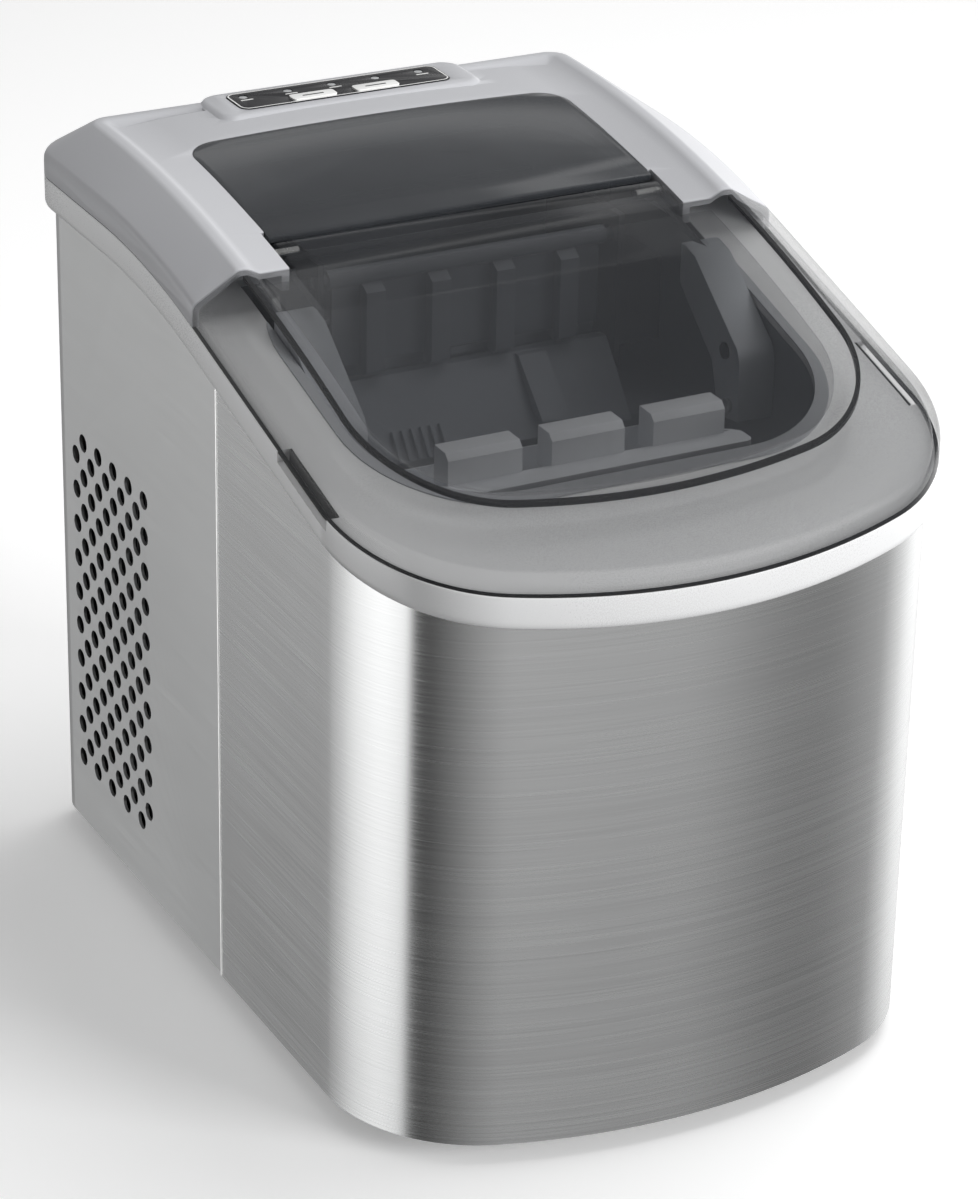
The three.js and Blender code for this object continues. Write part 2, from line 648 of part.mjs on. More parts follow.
function waterTray() {
  const { y, z, inner, outer, half } = TRAY;
  const trough = cylinderX(outer, -half, half, y, z, 28)
    .subtract(cylinderX(inner, -half + 2, half - 2, y, z, 28))
    .subtract(box(-100, 100, y - 40, y + 40, z, z + 40));
  const stubs = [-1, 1].map((side) => {
    const [x0, x1] = inOrder(side * (half - 1.5), side * (side > 0 ? 77 : 66));
    return cylinderX(3, x0, x1, y, z, 10);
  });
  const spout = across([[y - 23.3, z - 3], [y - 20.5, z - 6], [y - 20.5, z], [y - 23.6, z]], -10, 10);
  return join(trough, ...stubs, spout);
}

function trayMotor() {
  return box(73, 92, 42, 74, 222, 256).subtract(cylinderX(3.4, 70, 79, TRAY.y, TRAY.z, 10));
}

function evaporator() {
  const { y, z, radius, reach, exitZ } = HEADER;
  let part = tube(
    [[-reach, 84, exitZ], [-reach, y, exitZ], [-reach, y, z], [reach, y, z], [reach, y, exitZ],
      [reach, 84, exitZ]],
    radius, 5, 34, 6,
  );
  for (let i = 0; i < FINGER.count; i += 1) {
    const x = FINGER.pitch * (i - (FINGER.count - 1) / 2);
    part = part.add(turned(
      [[0, FINGER.bottom], [FINGER.radius * 0.75, FINGER.bottom + 1], [FINGER.radius, FINGER.bottom + 4],
        [FINGER.radius, z], [0, z]],
      x, y, 6,
    ));
  }
  return part;
}

function iceShovel() {
  const { y, z, bottom, ribs, ribPitch, half } = SHOVEL;
  const bar = cylinderX(2, -FRAME_PLATE.x - 2.2, FRAME_PLATE.x + 2.2, y, z, 12);
  const head = cylinderX(3.6, -half - 2, half + 2, y, z, 16);
  const panel = box(-half, half, y - 1, y + 0.8, bottom + 4, z);
  let shovel = join(bar, head, panel);
  for (let i = 0; i < ribs; i += 1) {
    const x = ribPitch * (i - (ribs - 1) / 2);
    shovel = shovel.add(across([
      [y - 7, bottom + 2], [y - 5, bottom], [y, bottom], [y, z - 1], [y - 7, z - 5],
    ], x - 4, x + 4));
  }
  return shovel;
}

// ---------------------------------------------------------------- basket

function iceBasket() {
  const { half, front, back, bottom, rim, rearRim, wall } = BASKET;
  const rimAt = (y) => rearRim + ((rim - rearRim) * (back - y)) / (back - front);
  const outer = raised(roundedRectangle(-half, half, front, back, 6, 3), bottom, 260);
  const insideOutline = roundedRectangle(-half + wall, half - wall, front + wall, back - wall, 4, 3);
  const inner = raised(insideOutline, bottom + wall, 270);
  let basket = outer.subtract(inner).intersect(below(rimAt, front - 1, back + 1, 100));
  basket = basket.add(box(-half, half, front - 10, front + 1, rim - 2.5, rim));
  for (let i = 0; i < BLOCK.count; i += 1) {
    const x = BLOCK.pitch * (i - (BLOCK.count - 1) / 2);
    basket = basket.add(across([
      [front, rim - 3], [front + BLOCK.depth, rim - 3], [front + BLOCK.depth, rim + BLOCK.height],
      [front + 2.5, rim + BLOCK.height], [front, rim + BLOCK.height - 2.5],
    ], x - BLOCK.width / 2, x + BLOCK.width / 2));
  }
  for (let i = 0; i < 6; i += 1) {
    const x = (i - 2.5) * 18;
    basket = basket.subtract(box(x - 3, x + 3, front + 12, back - 12, bottom - 1, bottom + 4));
  }
  return basket;
}

// ---------------------------------------------------------------- refrigeration

function compressor() {
  const { x, y, radius, bottom, top } = COMPRESSOR;
  const can = turned([
    [0, bottom - 4], [radius - 8, bottom], [radius, bottom + 10], [radius, 84], [radius + 1.6, 85.5],
    [radius + 1.6, 88.5], [radius, 90], [radius, top - 16], [radius - 10, top - 3], [0, top],
  ], x, y, 28);
  let body = can;
  for (const [fx, fy] of grommetPlaces()) {
    const angle = Math.atan2(fy - y, fx - x);
    const lug = box(-14, 14, -9, 9, 20.3, 30).rotate([0, 0, THREE.MathUtils.radToDeg(angle)])
      .translate([x + 46 * Math.cos(angle), y + 46 * Math.sin(angle), 0]);
    body = body.add(lug);
  }
  const stub = (sx, sy) => cylinderZ(3, top - 8, top + 8, sx, sy, 8);
  return join(body, stub(x + 18, y), stub(x - 14, y + 8));
}

function grommetPlaces() {
  return [90, 205, 335].map((degrees) => {
    const angle = THREE.MathUtils.degToRad(degrees);
    return [COMPRESSOR.x + 52 * Math.cos(angle), COMPRESSOR.y + 52 * Math.sin(angle)];
  });
}

function grommet() {
  return turned([[0, 12.4], [7, 12.4], [7, 15], [5.6, 16.2], [7, 17.4], [7, 20], [0, 20]], 0, 0, 8);
}

function terminalCover() {
  const { x, y, radius } = COMPRESSOR;
  return box(x - 20, x + 20, y + radius - 6, y + radius + 13, 56, 82)
    .subtract(cylinderZ(radius + 0.5, 40, 100, x, y, 28));
}

function condenser() {
  const { x, half, y0, y1, z0, z1, fins, tubes } = CONDENSER;
  let part = null;
  for (let i = 0; i < fins; i += 1) {
    const y = y0 + 1 + ((y1 - y0 - 2) * i) / (fins - 1);
    const fin = box(x - half, x + half, y - 0.5, y + 0.5, z0, z1);
    part = part ? part.add(fin) : fin;
  }
  for (const z of tubes) part = part.add(cylinderY(3, y0 - 5, y1 + 4, x, z, 6));
  const linkFront = (z) => box(x - 3, x + 3, y0 - 8, y0 - 3, z - 3, z + 39);
  part = part.add(linkFront(tubes[0])).add(linkFront(tubes[2]));
  return part.add(box(x - 3, x + 3, y1 + 2, y1 + 7, tubes[1] - 3, tubes[2] + 3));
}

function fanShroud() {
  const { y, z, x, radius } = FAN;
  const { y0, y1, z0, z1 } = CONDENSER;
  const plate = box(x - 1.5, x + 0.5, y0 - 6, y1 + 2, z0 - 4, z1 + 4);
  const collar = cylinderX(radius + 5, x, x + 21, y, z, 28);
  const hole = cylinderX(radius + 3, x - 3, x + 30, y, z, 28);
  const ring = cylinderX(22, x + 18, x + 21, y, z, 20).subtract(cylinderX(18.4, x + 10, x + 30, y, z, 20));
  const spokes = [30, 150, 270].map((degrees) => {
    const bar = box(-1.5, 1.5, -2, 2, 20, radius + 4);
    return bar.rotate([degrees, 0, 0]).translate([x + 19.5, y, z]);
  });
  return join(plate.add(collar).subtract(hole), ring, ...spokes);
}

function fanMotor() {
  const { x, y, z } = FAN;
  return cylinderX(18, x + 18.3, x + 38, y, z, 20).add(cylinderX(2, x + 12.5, x + 19, y, z, 10));
}

// built at the axis of the fan, blades swept about it
function fanBlade() {
  let blade = cylinderX(10, 0, 9, 0, 0, 16).subtract(cylinderX(2.3, 4, 12, 0, 0, 10));
  for (let i = 0; i < FAN.blades; i += 1) {
    const leaf = box(-0.8, 0.8, -9, 9, 8, FAN.radius).rotate([0, 0, 28]);
    blade = blade.add(leaf.translate([4.5, 0, 0]).rotate([(360 / FAN.blades) * i, 0, 0]));
  }
  return blade;
}

function filterDrier() {
  return turned([[0, 62], [3, 62], [3, 68], [8, 74], [8, 122], [3, 128], [3, 134], [0, 134]], -22, 146, 12);
}

function hotGasValve() {
  const coil = box(-40, -16, 124, 148, 170, 194);
  const stem = cylinderZ(5, 160, 204, -28, 136, 12);
  return coil.add(stem);
}

function refrigerantLines() {
  const { x, y, top } = COMPRESSOR;
  const { reach, exitZ } = HEADER;
  const tail = CONDENSER.y1 + 4 + GAP;
  const port = top + 8 + GAP;
  place('discharge_line', tube(
    [[x + 18, y, port], [x + 18, y, 166], [x + 18, 154, 166], [CONDENSER.x, 157, 164],
      [CONDENSER.x, tail, 164]], 2.6, 6, 22,
  ), FINISH.copper);
  place('liquid_line', tube(
    [[CONDENSER.x, tail, 56], [CONDENSER.x, 157, 56], [-22, 157, 52], [-22, 146, 52], [-22, 146, 61.6]],
    2.4, 3.5, 22,
  ), FINISH.copper);
  place('suction_line', tube(
    [[reach, 84.5, exitZ], [reach, 104, exitZ], [reach, 112, 200], [x - 14, 112, 190], [x - 14, y + 8, 176],
      [x - 14, y + 8, port]], 2.8, 6, 24,
  ), FINISH.copper);
  place('hot_gas_line', tube(
    [[-28, 136, 204.4], [-28, 136, 220], [-reach, 120, 232], [-reach, 110, exitZ], [-reach, 84.5, exitZ]],
    2.6, 6, 22,
  ), FINISH.copper);
  place('capillary_tube', tube(
    [[-22, 146, 134.4], [-22, 146, 150], [4, 134, 158], [4, 134, 206], [-14, 134, 214], [-20, 128, 226]],
    1.2, 3, 20, 5,
  ), FINISH.copper);
}

// ---------------------------------------------------------------- water circuit

function pumpHousing() {
  const { x, y, bottom, top, radius } = PUMP;
  const can = cylinderZ(radius, bottom, top, x, y, 20)
    .subtract(cylinderZ(radius - 3, bottom + 3, bottom + 16, x, y, 20));
  const inlet = cylinderY(4, TUB.step - 6, y - radius + 6, x, 48, 12);
  const inletBore = cylinderY(2.4, TUB.step - 8, y - radius + 8, x, 48, 10);
  const well = cylinderZ(3, bottom + 10, 46, x, y - radius + 8, 8);
  const outlet = cylinderZ(3.6, top - 2, top + 8, x, y, 12);
  return join(can, inlet, outlet).subtract(inletBore).subtract(well);
}

function pumpImpeller() {
  let wheel = cylinderZ(11, 0, 2, 0, 0, 16);
  for (let i = 0; i < 6; i += 1) {
    wheel = wheel.add(box(3, 10.5, -0.7, 0.7, 1.5, 8).rotate([0, 0, 60 * i]));
  }
  return wheel.add(cylinderZ(4, 0, 9, 0, 0, 12));
}

function waterHose() {
  return tube(
    [[PUMP.x, PUMP.y, PUMP.top + 8.4], [PUMP.x, PUMP.y, 80], [-105, PUMP.y, 92], [-105, 62, 240],
      [-105, 62, 268], [-72, 62, 268]], 3.5, 9, 28, 6,
  );
}

function drainCap() {
  const { radius } = DRAIN;
  const cup = turned([
    [0, 3.2], [9, 3.2], [10.5, 4.4], [10.5, 18], [radius + 0.5, 18], [radius + 0.5, 13.8], [0, 13.8],
  ], 0, 0, 20);
  return cup.add(box(-9, 9, -1.6, 1.6, 1.2, 4));
}

function foot() {
  return turned([
    [0, 0], [FOOT.radius - 1, 0], [FOOT.radius, 1], [FOOT.radius - 1.5, PANEL_BOTTOM], [0, PANEL_BOTTOM],
  ], 0, 0, 12).subtract(cylinderZ(4, -1, 3, 0, 0, 8)).subtract(cylinderZ(2.2, 2, 10, 0, 0, 8));
}

function footScrew() {
  return cylinderZ(3.4, 0.8, 2.7, 0, 0, 8).add(cylinderZ(1.8, 2, 16, 0, 0, 6));
}

function powerInlet() {
  const collar = cylinderY(11, 165, 167.6, INLET.x, INLET.z, 20);
  const barrel = cylinderY(7.8, 152, 166, INLET.x, INLET.z, 16);
  return collar.add(barrel).subtract(cylinderY(4, 150, 170, INLET.x, INLET.z, 12));
}

// ---------------------------------------------------------------- placing every piece

place('base_tray', baseTray(), FINISH.darkPlastic);
place('front_wrap', frontWrap(), FINISH.steel);
place('rear_cover', rearCover(), FINISH.satinSteel);
place('top_frame', topFrame(), FINISH.lip);
place('rear_bezel', rearBezel(), FINISH.silver);
place('upper_window', upperWindow(), FINISH.smoke);
place('lid', lid(), FINISH.smoke);
place('left_hinge_pin', hingePin(-1), FINISH.zinc);
place('right_hinge_pin', hingePin(1), FINISH.zinc);
for (const [name, side] of [['left', -1], ['right', 1]]) {
  place(`${name}_sensor_housing`, sensorHousing(side), FINISH.grey);
  place(`${name}_sensor_screw`, sensorScrew(side), FINISH.zinc);
  place(`${name}_sensor_eye`, sensorEye(side), FINISH.black);
}

place('control_fascia', fascia(), FINISH.black);
place('light_guide', lightGuide(), FINISH.hose);
place('on_off_button', button(), FINISH.white, [BUTTON.xs[1], BUTTON.y, 0]);
place('select_button', button(), FINISH.white, [BUTTON.xs[0], BUTTON.y, 0]);
place('display_board', displayBoard(), FINISH.board);
place('main_board', mainBoard(), FINISH.board);

place('inner_liner', innerLiner(), FINISH.grey);
place('foam_jacket', foamJacket(), FINISH.foam);
place('level_sensor', levelSensor(), FINISH.darkPlastic);
place('ice_chute', iceChute(), FINISH.grey);
place('ice_basket', iceBasket(), FINISH.grey);

place('mechanism_frame', mechanismFrame(), FINISH.darkPlastic);
place('water_tray', waterTray(), FINISH.grey);
place('tray_motor', trayMotor(), FINISH.darkPlastic);
place('evaporator', evaporator(), FINISH.zinc);
place('ice_shovel', iceShovel(), FINISH.grey);

place('compressor', compressor(), FINISH.blackMetal);
place('terminal_cover', terminalCover(), FINISH.darkPlastic);
grommetPlaces().forEach(([x, y], i) => {
  place(`compressor_grommet_${i + 1}`, grommet(), FINISH.rubber, [x, y, 0]);
});
place('condenser', condenser(), FINISH.aluminium);
place('fan_shroud', fanShroud(), FINISH.darkPlastic);
place('fan_motor', fanMotor(), FINISH.blackMetal);
place('fan_blade', fanBlade(), FINISH.darkPlastic, [FAN.x + 5, FAN.y, FAN.z]);
place('filter_drier', filterDrier(), FINISH.copper);
place('hot_gas_valve', hotGasValve(), FINISH.zinc);
refrigerantLines();

place('pump_housing', pumpHousing(), FINISH.darkPlastic);
place('pump_impeller', pumpImpeller(), FINISH.white, [PUMP.x, PUMP.y, PUMP.bottom + 4.5]);
place('water_hose', waterHose(), FINISH.hose);
place('drain_cap', drainCap(), FINISH.rubber, [DRAIN.x, DRAIN.y, 0]);
place('power_inlet', powerInlet(), FINISH.darkPlastic);
FOOT.places.forEach(([x, y], i) => {
  place(`foot_${i + 1}`, foot(), FINISH.rubber, [x, y, 0]);
  place(`foot_screw_${i + 1}`, footScrew(), FINISH.zinc, [x, y, 0]);
});

export default iceMaker;
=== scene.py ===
"""Looks of a countertop ice maker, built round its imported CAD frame.

Shapes are written in millimetres, in the CAD's own frame, and turned into metres as each mesh is made.
"""
import math

import bmesh
import bpy
from mathutils import Matrix, Vector


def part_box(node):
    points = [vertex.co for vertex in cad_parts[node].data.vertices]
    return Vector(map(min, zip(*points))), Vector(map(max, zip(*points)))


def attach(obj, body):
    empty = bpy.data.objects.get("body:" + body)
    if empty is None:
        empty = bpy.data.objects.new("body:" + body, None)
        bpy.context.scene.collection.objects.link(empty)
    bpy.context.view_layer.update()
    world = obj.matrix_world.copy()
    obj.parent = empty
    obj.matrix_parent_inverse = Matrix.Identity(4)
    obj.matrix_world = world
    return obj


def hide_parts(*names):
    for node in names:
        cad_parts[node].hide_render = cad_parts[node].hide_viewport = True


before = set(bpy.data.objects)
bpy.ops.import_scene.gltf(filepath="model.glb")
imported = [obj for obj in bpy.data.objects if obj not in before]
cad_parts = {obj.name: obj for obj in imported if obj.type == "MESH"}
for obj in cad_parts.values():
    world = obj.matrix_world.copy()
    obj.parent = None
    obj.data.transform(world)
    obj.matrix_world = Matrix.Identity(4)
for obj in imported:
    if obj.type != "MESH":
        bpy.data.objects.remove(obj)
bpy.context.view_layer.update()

MM = 0.001
SIDES = {"left": -1, "right": 1}
scene = bpy.context.scene


# ------------------------------------------------------------------ sizes taken from the frame

def corners(node):
    """Lowest and highest corner of a CAD node, in millimetres."""
    low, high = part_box(node)
    return low / MM, high / MM


wrap_low, wrap_high = corners("front_wrap")
cover_low, cover_high = corners("rear_cover")
lip_high = corners("top_frame")[1]

HALF = wrap_high.x
LIP_OUT = lip_high.x - HALF
PANEL = 1.2
GAP = 0.3
BODY = dict(half=HALF, front=wrap_low.y, back=cover_high.y, bow=234.5, corner=60.7, rear=17.5)
RIDGE = dict(half=103, front=-131.2, back=150, bow=310, corner=54, rear=8)

FLAT_FROM, SLOPE_FROM = 95, 12
LIP_UNDER = lip_high.z - 13
SLOPE = 0.2646
LIP_TALL = 13
SKIRT_TALL = 8.5
RIDGE_HIGH, RIDGE_AT, RIDGE_BEND = 306.4, 136, 0.00085
DECK_DROP = 2.5
SHELL = 2.5
CROWN, CROWN_FROM, CROWN_OVER = 3, 45, 75

pin_low, pin_high = corners("left_hinge_pin")
HINGE_Y = (pin_low.y + pin_high.y) / 2
HINGE_Z = (pin_low.z + pin_high.z) / 2
BARREL = 3.8
ARM_END = 10
TONGUE = 80
CHEEK_IN, CHEEK_OUT, CHEEK_BACK = TONGUE + 2.3, TONGUE + 5.3, 44
PIN_HOLE = (pin_high.y - pin_low.y) / 2 + GAP

TUB_HALF, TUB_FRONT, TUB_STEP, TUB_BACK, TUB_WALL, TUB_CORNER = 95, -126, 12, 88, 2, 34
TUB_FLOOR, TUB_SHELF = 40, 205
OPENING = dict(half=corners("inner_liner")[1].x - TUB_WALL, front=-106, back=148, corner=48)
NOTCH_FRONT, NOTCH_BACK, NOTCH_IN, NOTCH_DEEP = -101, -62, 115.5, 4.5
UNDER_ALL, OVER_ALL = 100, 320

VENT_COLUMNS, VENT_ROWS, VENT_PITCH = 10, 20, 7.5
VENT_Y, VENT_Z, VENT_RADIUS = 135.8, 181, 3.7


# ------------------------------------------------------------------ outlines and heights

def arc(cx, cy, radius, start, end, steps):
    """Points on an arc, angles in degrees."""
    turns = [math.radians(start + (end - start) * i / steps) for i in range(steps + 1)]
    return [(cx + radius * math.cos(a), cy + radius * math.sin(a)) for a in turns]


def rounded_rectangle(x0, x1, y0, y1, radius, steps=8):
    centres = [(x1 - radius, y0 + radius, -90), (x1 - radius, y1 - radius, 0),
               (x0 + radius, y1 - radius, 90), (x0 + radius, y0 + radius, 180)]
    return [p for cx, cy, start in centres for p in arc(cx, cy, radius, start, start + 90, steps)]


def half_outline(plan, offset):
    """Right half of a plan outline, from the middle of the front to the middle of the back."""
    bow_centre = plan["front"] + plan["bow"]
    corner_x = plan["half"] - plan["corner"]
    corner_y = bow_centre - math.sqrt((plan["bow"] - plan["corner"]) ** 2 - corner_x ** 2)
    meet = math.degrees(math.atan2(corner_y - bow_centre, corner_x))
    half, back = plan["half"] + offset, plan["back"] + offset
    rear = max(plan["rear"] + offset, 1)
    points = arc(0, bow_centre, plan["bow"] + offset, -90, meet, 18)
    points += arc(corner_x, corner_y, plan["corner"] + offset, meet, 0, 22)[1:]
    side = 40
    points += [(half, corner_y + (back - rear - corner_y) * i / side) for i in range(1, side)]
    points += arc(half - rear, back - rear, rear, 0, 90, 10)
    points += [((half - rear) * (8 - i) / 8, back) for i in range(1, 9)]
    return points


def full_outline(plan, offset):
    right = half_outline(plan, offset)
    return right + [(-x, y) for x, y in right[-2:0:-1]]


def lip_under(y):
    if y >= FLAT_FROM:
        return LIP_UNDER
    run = FLAT_FROM - SLOPE_FROM
    bend = SLOPE / (2 * run)
    if y > SLOPE_FROM:
        return LIP_UNDER - bend * (FLAT_FROM - y) ** 2
    return LIP_UNDER - bend * run ** 2 - SLOPE * (SLOPE_FROM - y)


def lip_top(y):
    return lip_under(y) + LIP_TALL


def skirt_top(y):
    return lip_top(y) + SKIRT_TALL


def ridge_top(y):
    return RIDGE_HIGH - RIDGE_BEND * (RIDGE_AT - y) ** 2


def crown(x, y):
    rise = min(max((y - CROWN_FROM) / CROWN_OVER, 0), 1)
    rise = rise * rise * (3 - 2 * rise)
    return CROWN * rise * (1 - (x / RIDGE["half"]) ** 2)


# ------------------------------------------------------------------ mesh building

def new_piece(name, vertices, faces):
    mesh = bpy.data.meshes.new(name)
    mesh.from_pydata([(x * MM, y * MM, z * MM) for x, y, z in vertices], [], faces)
    mesh.update()
    piece = bpy.data.objects.new(name, mesh)
    scene.collection.objects.link(piece)
    return piece


def prism(points, low, high, axis="Z"):
    """An outline carried from low to high. Axis Z takes (x, y) points, X takes (y, z), Y takes (z, x)."""
    place = {
        "Z": lambda a, b, c: (a, b, c),
        "X": lambda a, b, c: (c, a, b),
        "Y": lambda a, b, c: (b, c, a),
    }[axis]
    count = len(points)
    vertices = [place(a, b, c) for c in (low, high) for a, b in points]
    faces = [list(range(count - 1, -1, -1)), list(range(count, 2 * count))]
    faces += [(i, (i + 1) % count, count + (i + 1) % count, count + i) for i in range(count)]
    return new_piece("tool", vertices, faces)


def stacked(layers):
    """A solid through matching outlines, each with its height, lowest first."""
    count = len(layers[0][0])
    vertices = [(x, y, z) for outline, z in layers for x, y in outline]
    faces = [list(range(count - 1, -1, -1)), list(range(len(vertices) - count, len(vertices)))]
    for k in range(len(layers) - 1):
        near, far = k * count, (k + 1) * count
        faces += [(near + i, near + (i + 1) % count, far + (i + 1) % count, far + i) for i in range(count)]
    return new_piece("tool", vertices, faces)


def swept(name, rails, closed=False):
    """A bar or sheet between matching rails, which are the long edges of its section, taken in turn."""
    count = len(rails[0])
    vertices = [p for rail in rails for p in rail]
    faces = []
    for k in range(len(rails)):
        near, far = k * count, (k + 1) % len(rails) * count
        for i in range(count if closed else count - 1):
            j = (i + 1) % count
            faces.append((near + i, near + j, far + j, far + i))
    if not closed:
        faces.append([k * count for k in range(len(rails))])
        faces.append([k * count + count - 1 for k in reversed(range(len(rails)))])
    return new_piece(name, vertices, faces)


def block(x0, x1, y0, y1, z0, z1):
    return prism([(x0, y0), (x1, y0), (x1, y1), (x0, y1)], z0, z1)


def rod(axis, radius, low, high, a, b, sides=32):
    """A cylinder along an axis; a and b are its place on the other two axes, in the prism's order."""
    return prism(arc(a, b, radius, 0, 360 - 360 / sides, sides - 1), low, high, axis)


def below(profile, y0, y1, floor, half=130, steps=60):
    """Everything under a height profile."""
    points = [(y0, floor), (y1, floor)]
    points += [(y1 + (y0 - y1) * i / steps, profile(y1 + (y0 - y1) * i / steps)) for i in range(steps + 1)]
    return prism(points, -half, half, "X")


def softened(points, sizes, steps=4):
    """A 3-D polyline with each inner corner turned into a small curve of the given size."""
    points = [Vector(p) for p in points]
    out = [points[0]]
    for before, corner, after, size in zip(points, points[1:], points[2:], sizes):
        if not size:
            out.append(corner)
            continue
        start = corner + (before - corner).normalized() * min(size, (before - corner).length * 0.48)
        end = corner + (after - corner).normalized() * min(size, (after - corner).length * 0.48)
        for k in range(steps + 1):
            t = k / steps
            out.append(start * (1 - t) ** 2 + corner * 2 * t * (1 - t) + end * t * t)
    out.append(points[-1])
    return out


def lofted(name, rings, columns=12):
    """A closed skin over matching rings, lowest first; the top ring is bridged with the crown."""
    count = len(rings[0])
    half = count // 2
    vertices = [tuple(p) for ring in rings for p in ring]
    faces = []
    for k in range(len(rings) - 1):
        for i in range(count):
            j = (i + 1) % count
            faces.append((k * count + i, k * count + j, (k + 1) * count + j, (k + 1) * count + i))

    def rungs(start, lifted):
        rows = []
        for i in range(half + 1):
            if i in (0, half):
                rows.append([start + i] * (columns + 1))
                continue
            x, y, z = vertices[start + i]
            row = [start + count - i]
            for c in range(1, columns):
                px = -x + 2 * x * c / columns
                vertices.append((px, y, z + (crown(px, y) if lifted else 0)))
                row.append(len(vertices) - 1)
            rows.append(row + [start + i])
        return rows

    for start, lifted in ((0, False), ((len(rings) - 1) * count, True)):
        rows = rungs(start, lifted)
        for near, far in zip(rows, rows[1:]):
            for c in range(columns):
                face = [near[c], near[c + 1], far[c + 1], far[c]]
                face = [v for n, v in enumerate(face) if v != face[n - 1]]
                faces.append(face if lifted else face[::-1])
    return new_piece(name, vertices, faces)


def baked(piece):
    """Applies a piece's modifiers to its mesh."""
    graph = bpy.context.evaluated_depsgraph_get()
    mesh = bpy.data.meshes.new_from_object(piece.evaluated_get(graph))
    old = piece.data
    piece.modifiers.clear()
    piece.data = mesh
    bpy.data.meshes.remove(old)
    return piece


def combine(piece, tool, operation):
    modifier = piece.modifiers.new("combine", "BOOLEAN")
    modifier.operation = operation
    modifier.solver = "MANIFOLD"
    modifier.object = tool
    baked(piece)
    bpy.data.objects.remove(tool)
    return piece


def cut(piece, *tools):
    for tool in tools:
        combine(piece, tool, "DIFFERENCE")
    return piece


def keep(piece, tool):
    return combine(piece, tool, "INTERSECT")


def add(piece, *others):
    for other in others:
        combine(piece, other, "UNION")
    return piece


def copied(piece):
    twin = piece.copy()
    twin.data = piece.data.copy()
    scene.collection.objects.link(twin)
    return twin


def strip(side, near, far, y0, y1, z0, z1):
    """A block between two distances from the middle plane, on one side of it."""
    x0, x1 = sorted((side * near, side * far))
    return block(x0, x1, y0, y1, z0, z1)


def side_rod(side, near, far, radius, a, b, sides=32):
    """A cylinder along X between two distances from the middle plane, on one side of it."""
    x0, x1 = sorted((side * near, side * far))
    return rod("X", radius, x0, x1, a, b, sides)


def smoothed(piece, angle=32):
    piece.data.shade_smooth()
    piece.data.set_sharp_from_angle(angle=math.radians(angle))
    return piece


def eased(piece, width, segments=2, angle=38):
    """Breaks the sharp edges with a small round."""
    work = bmesh.new()
    work.from_mesh(piece.data)
    bmesh.ops.remove_doubles(work, verts=work.verts, dist=0.00002)
    bmesh.ops.dissolve_limit(work, angle_limit=math.radians(0.4), verts=work.verts, edges=work.edges)
    work.to_mesh(piece.data)
    work.free()
    bevel = piece.modifiers.new("ease", "BEVEL")
    bevel.width = width * MM
    bevel.segments = segments
    bevel.limit_method = "ANGLE"
    bevel.angle_limit = math.radians(angle)
    bevel.use_clamp_overlap = True
    baked(piece)
    return smoothed(piece)


# ------------------------------------------------------------------ materials

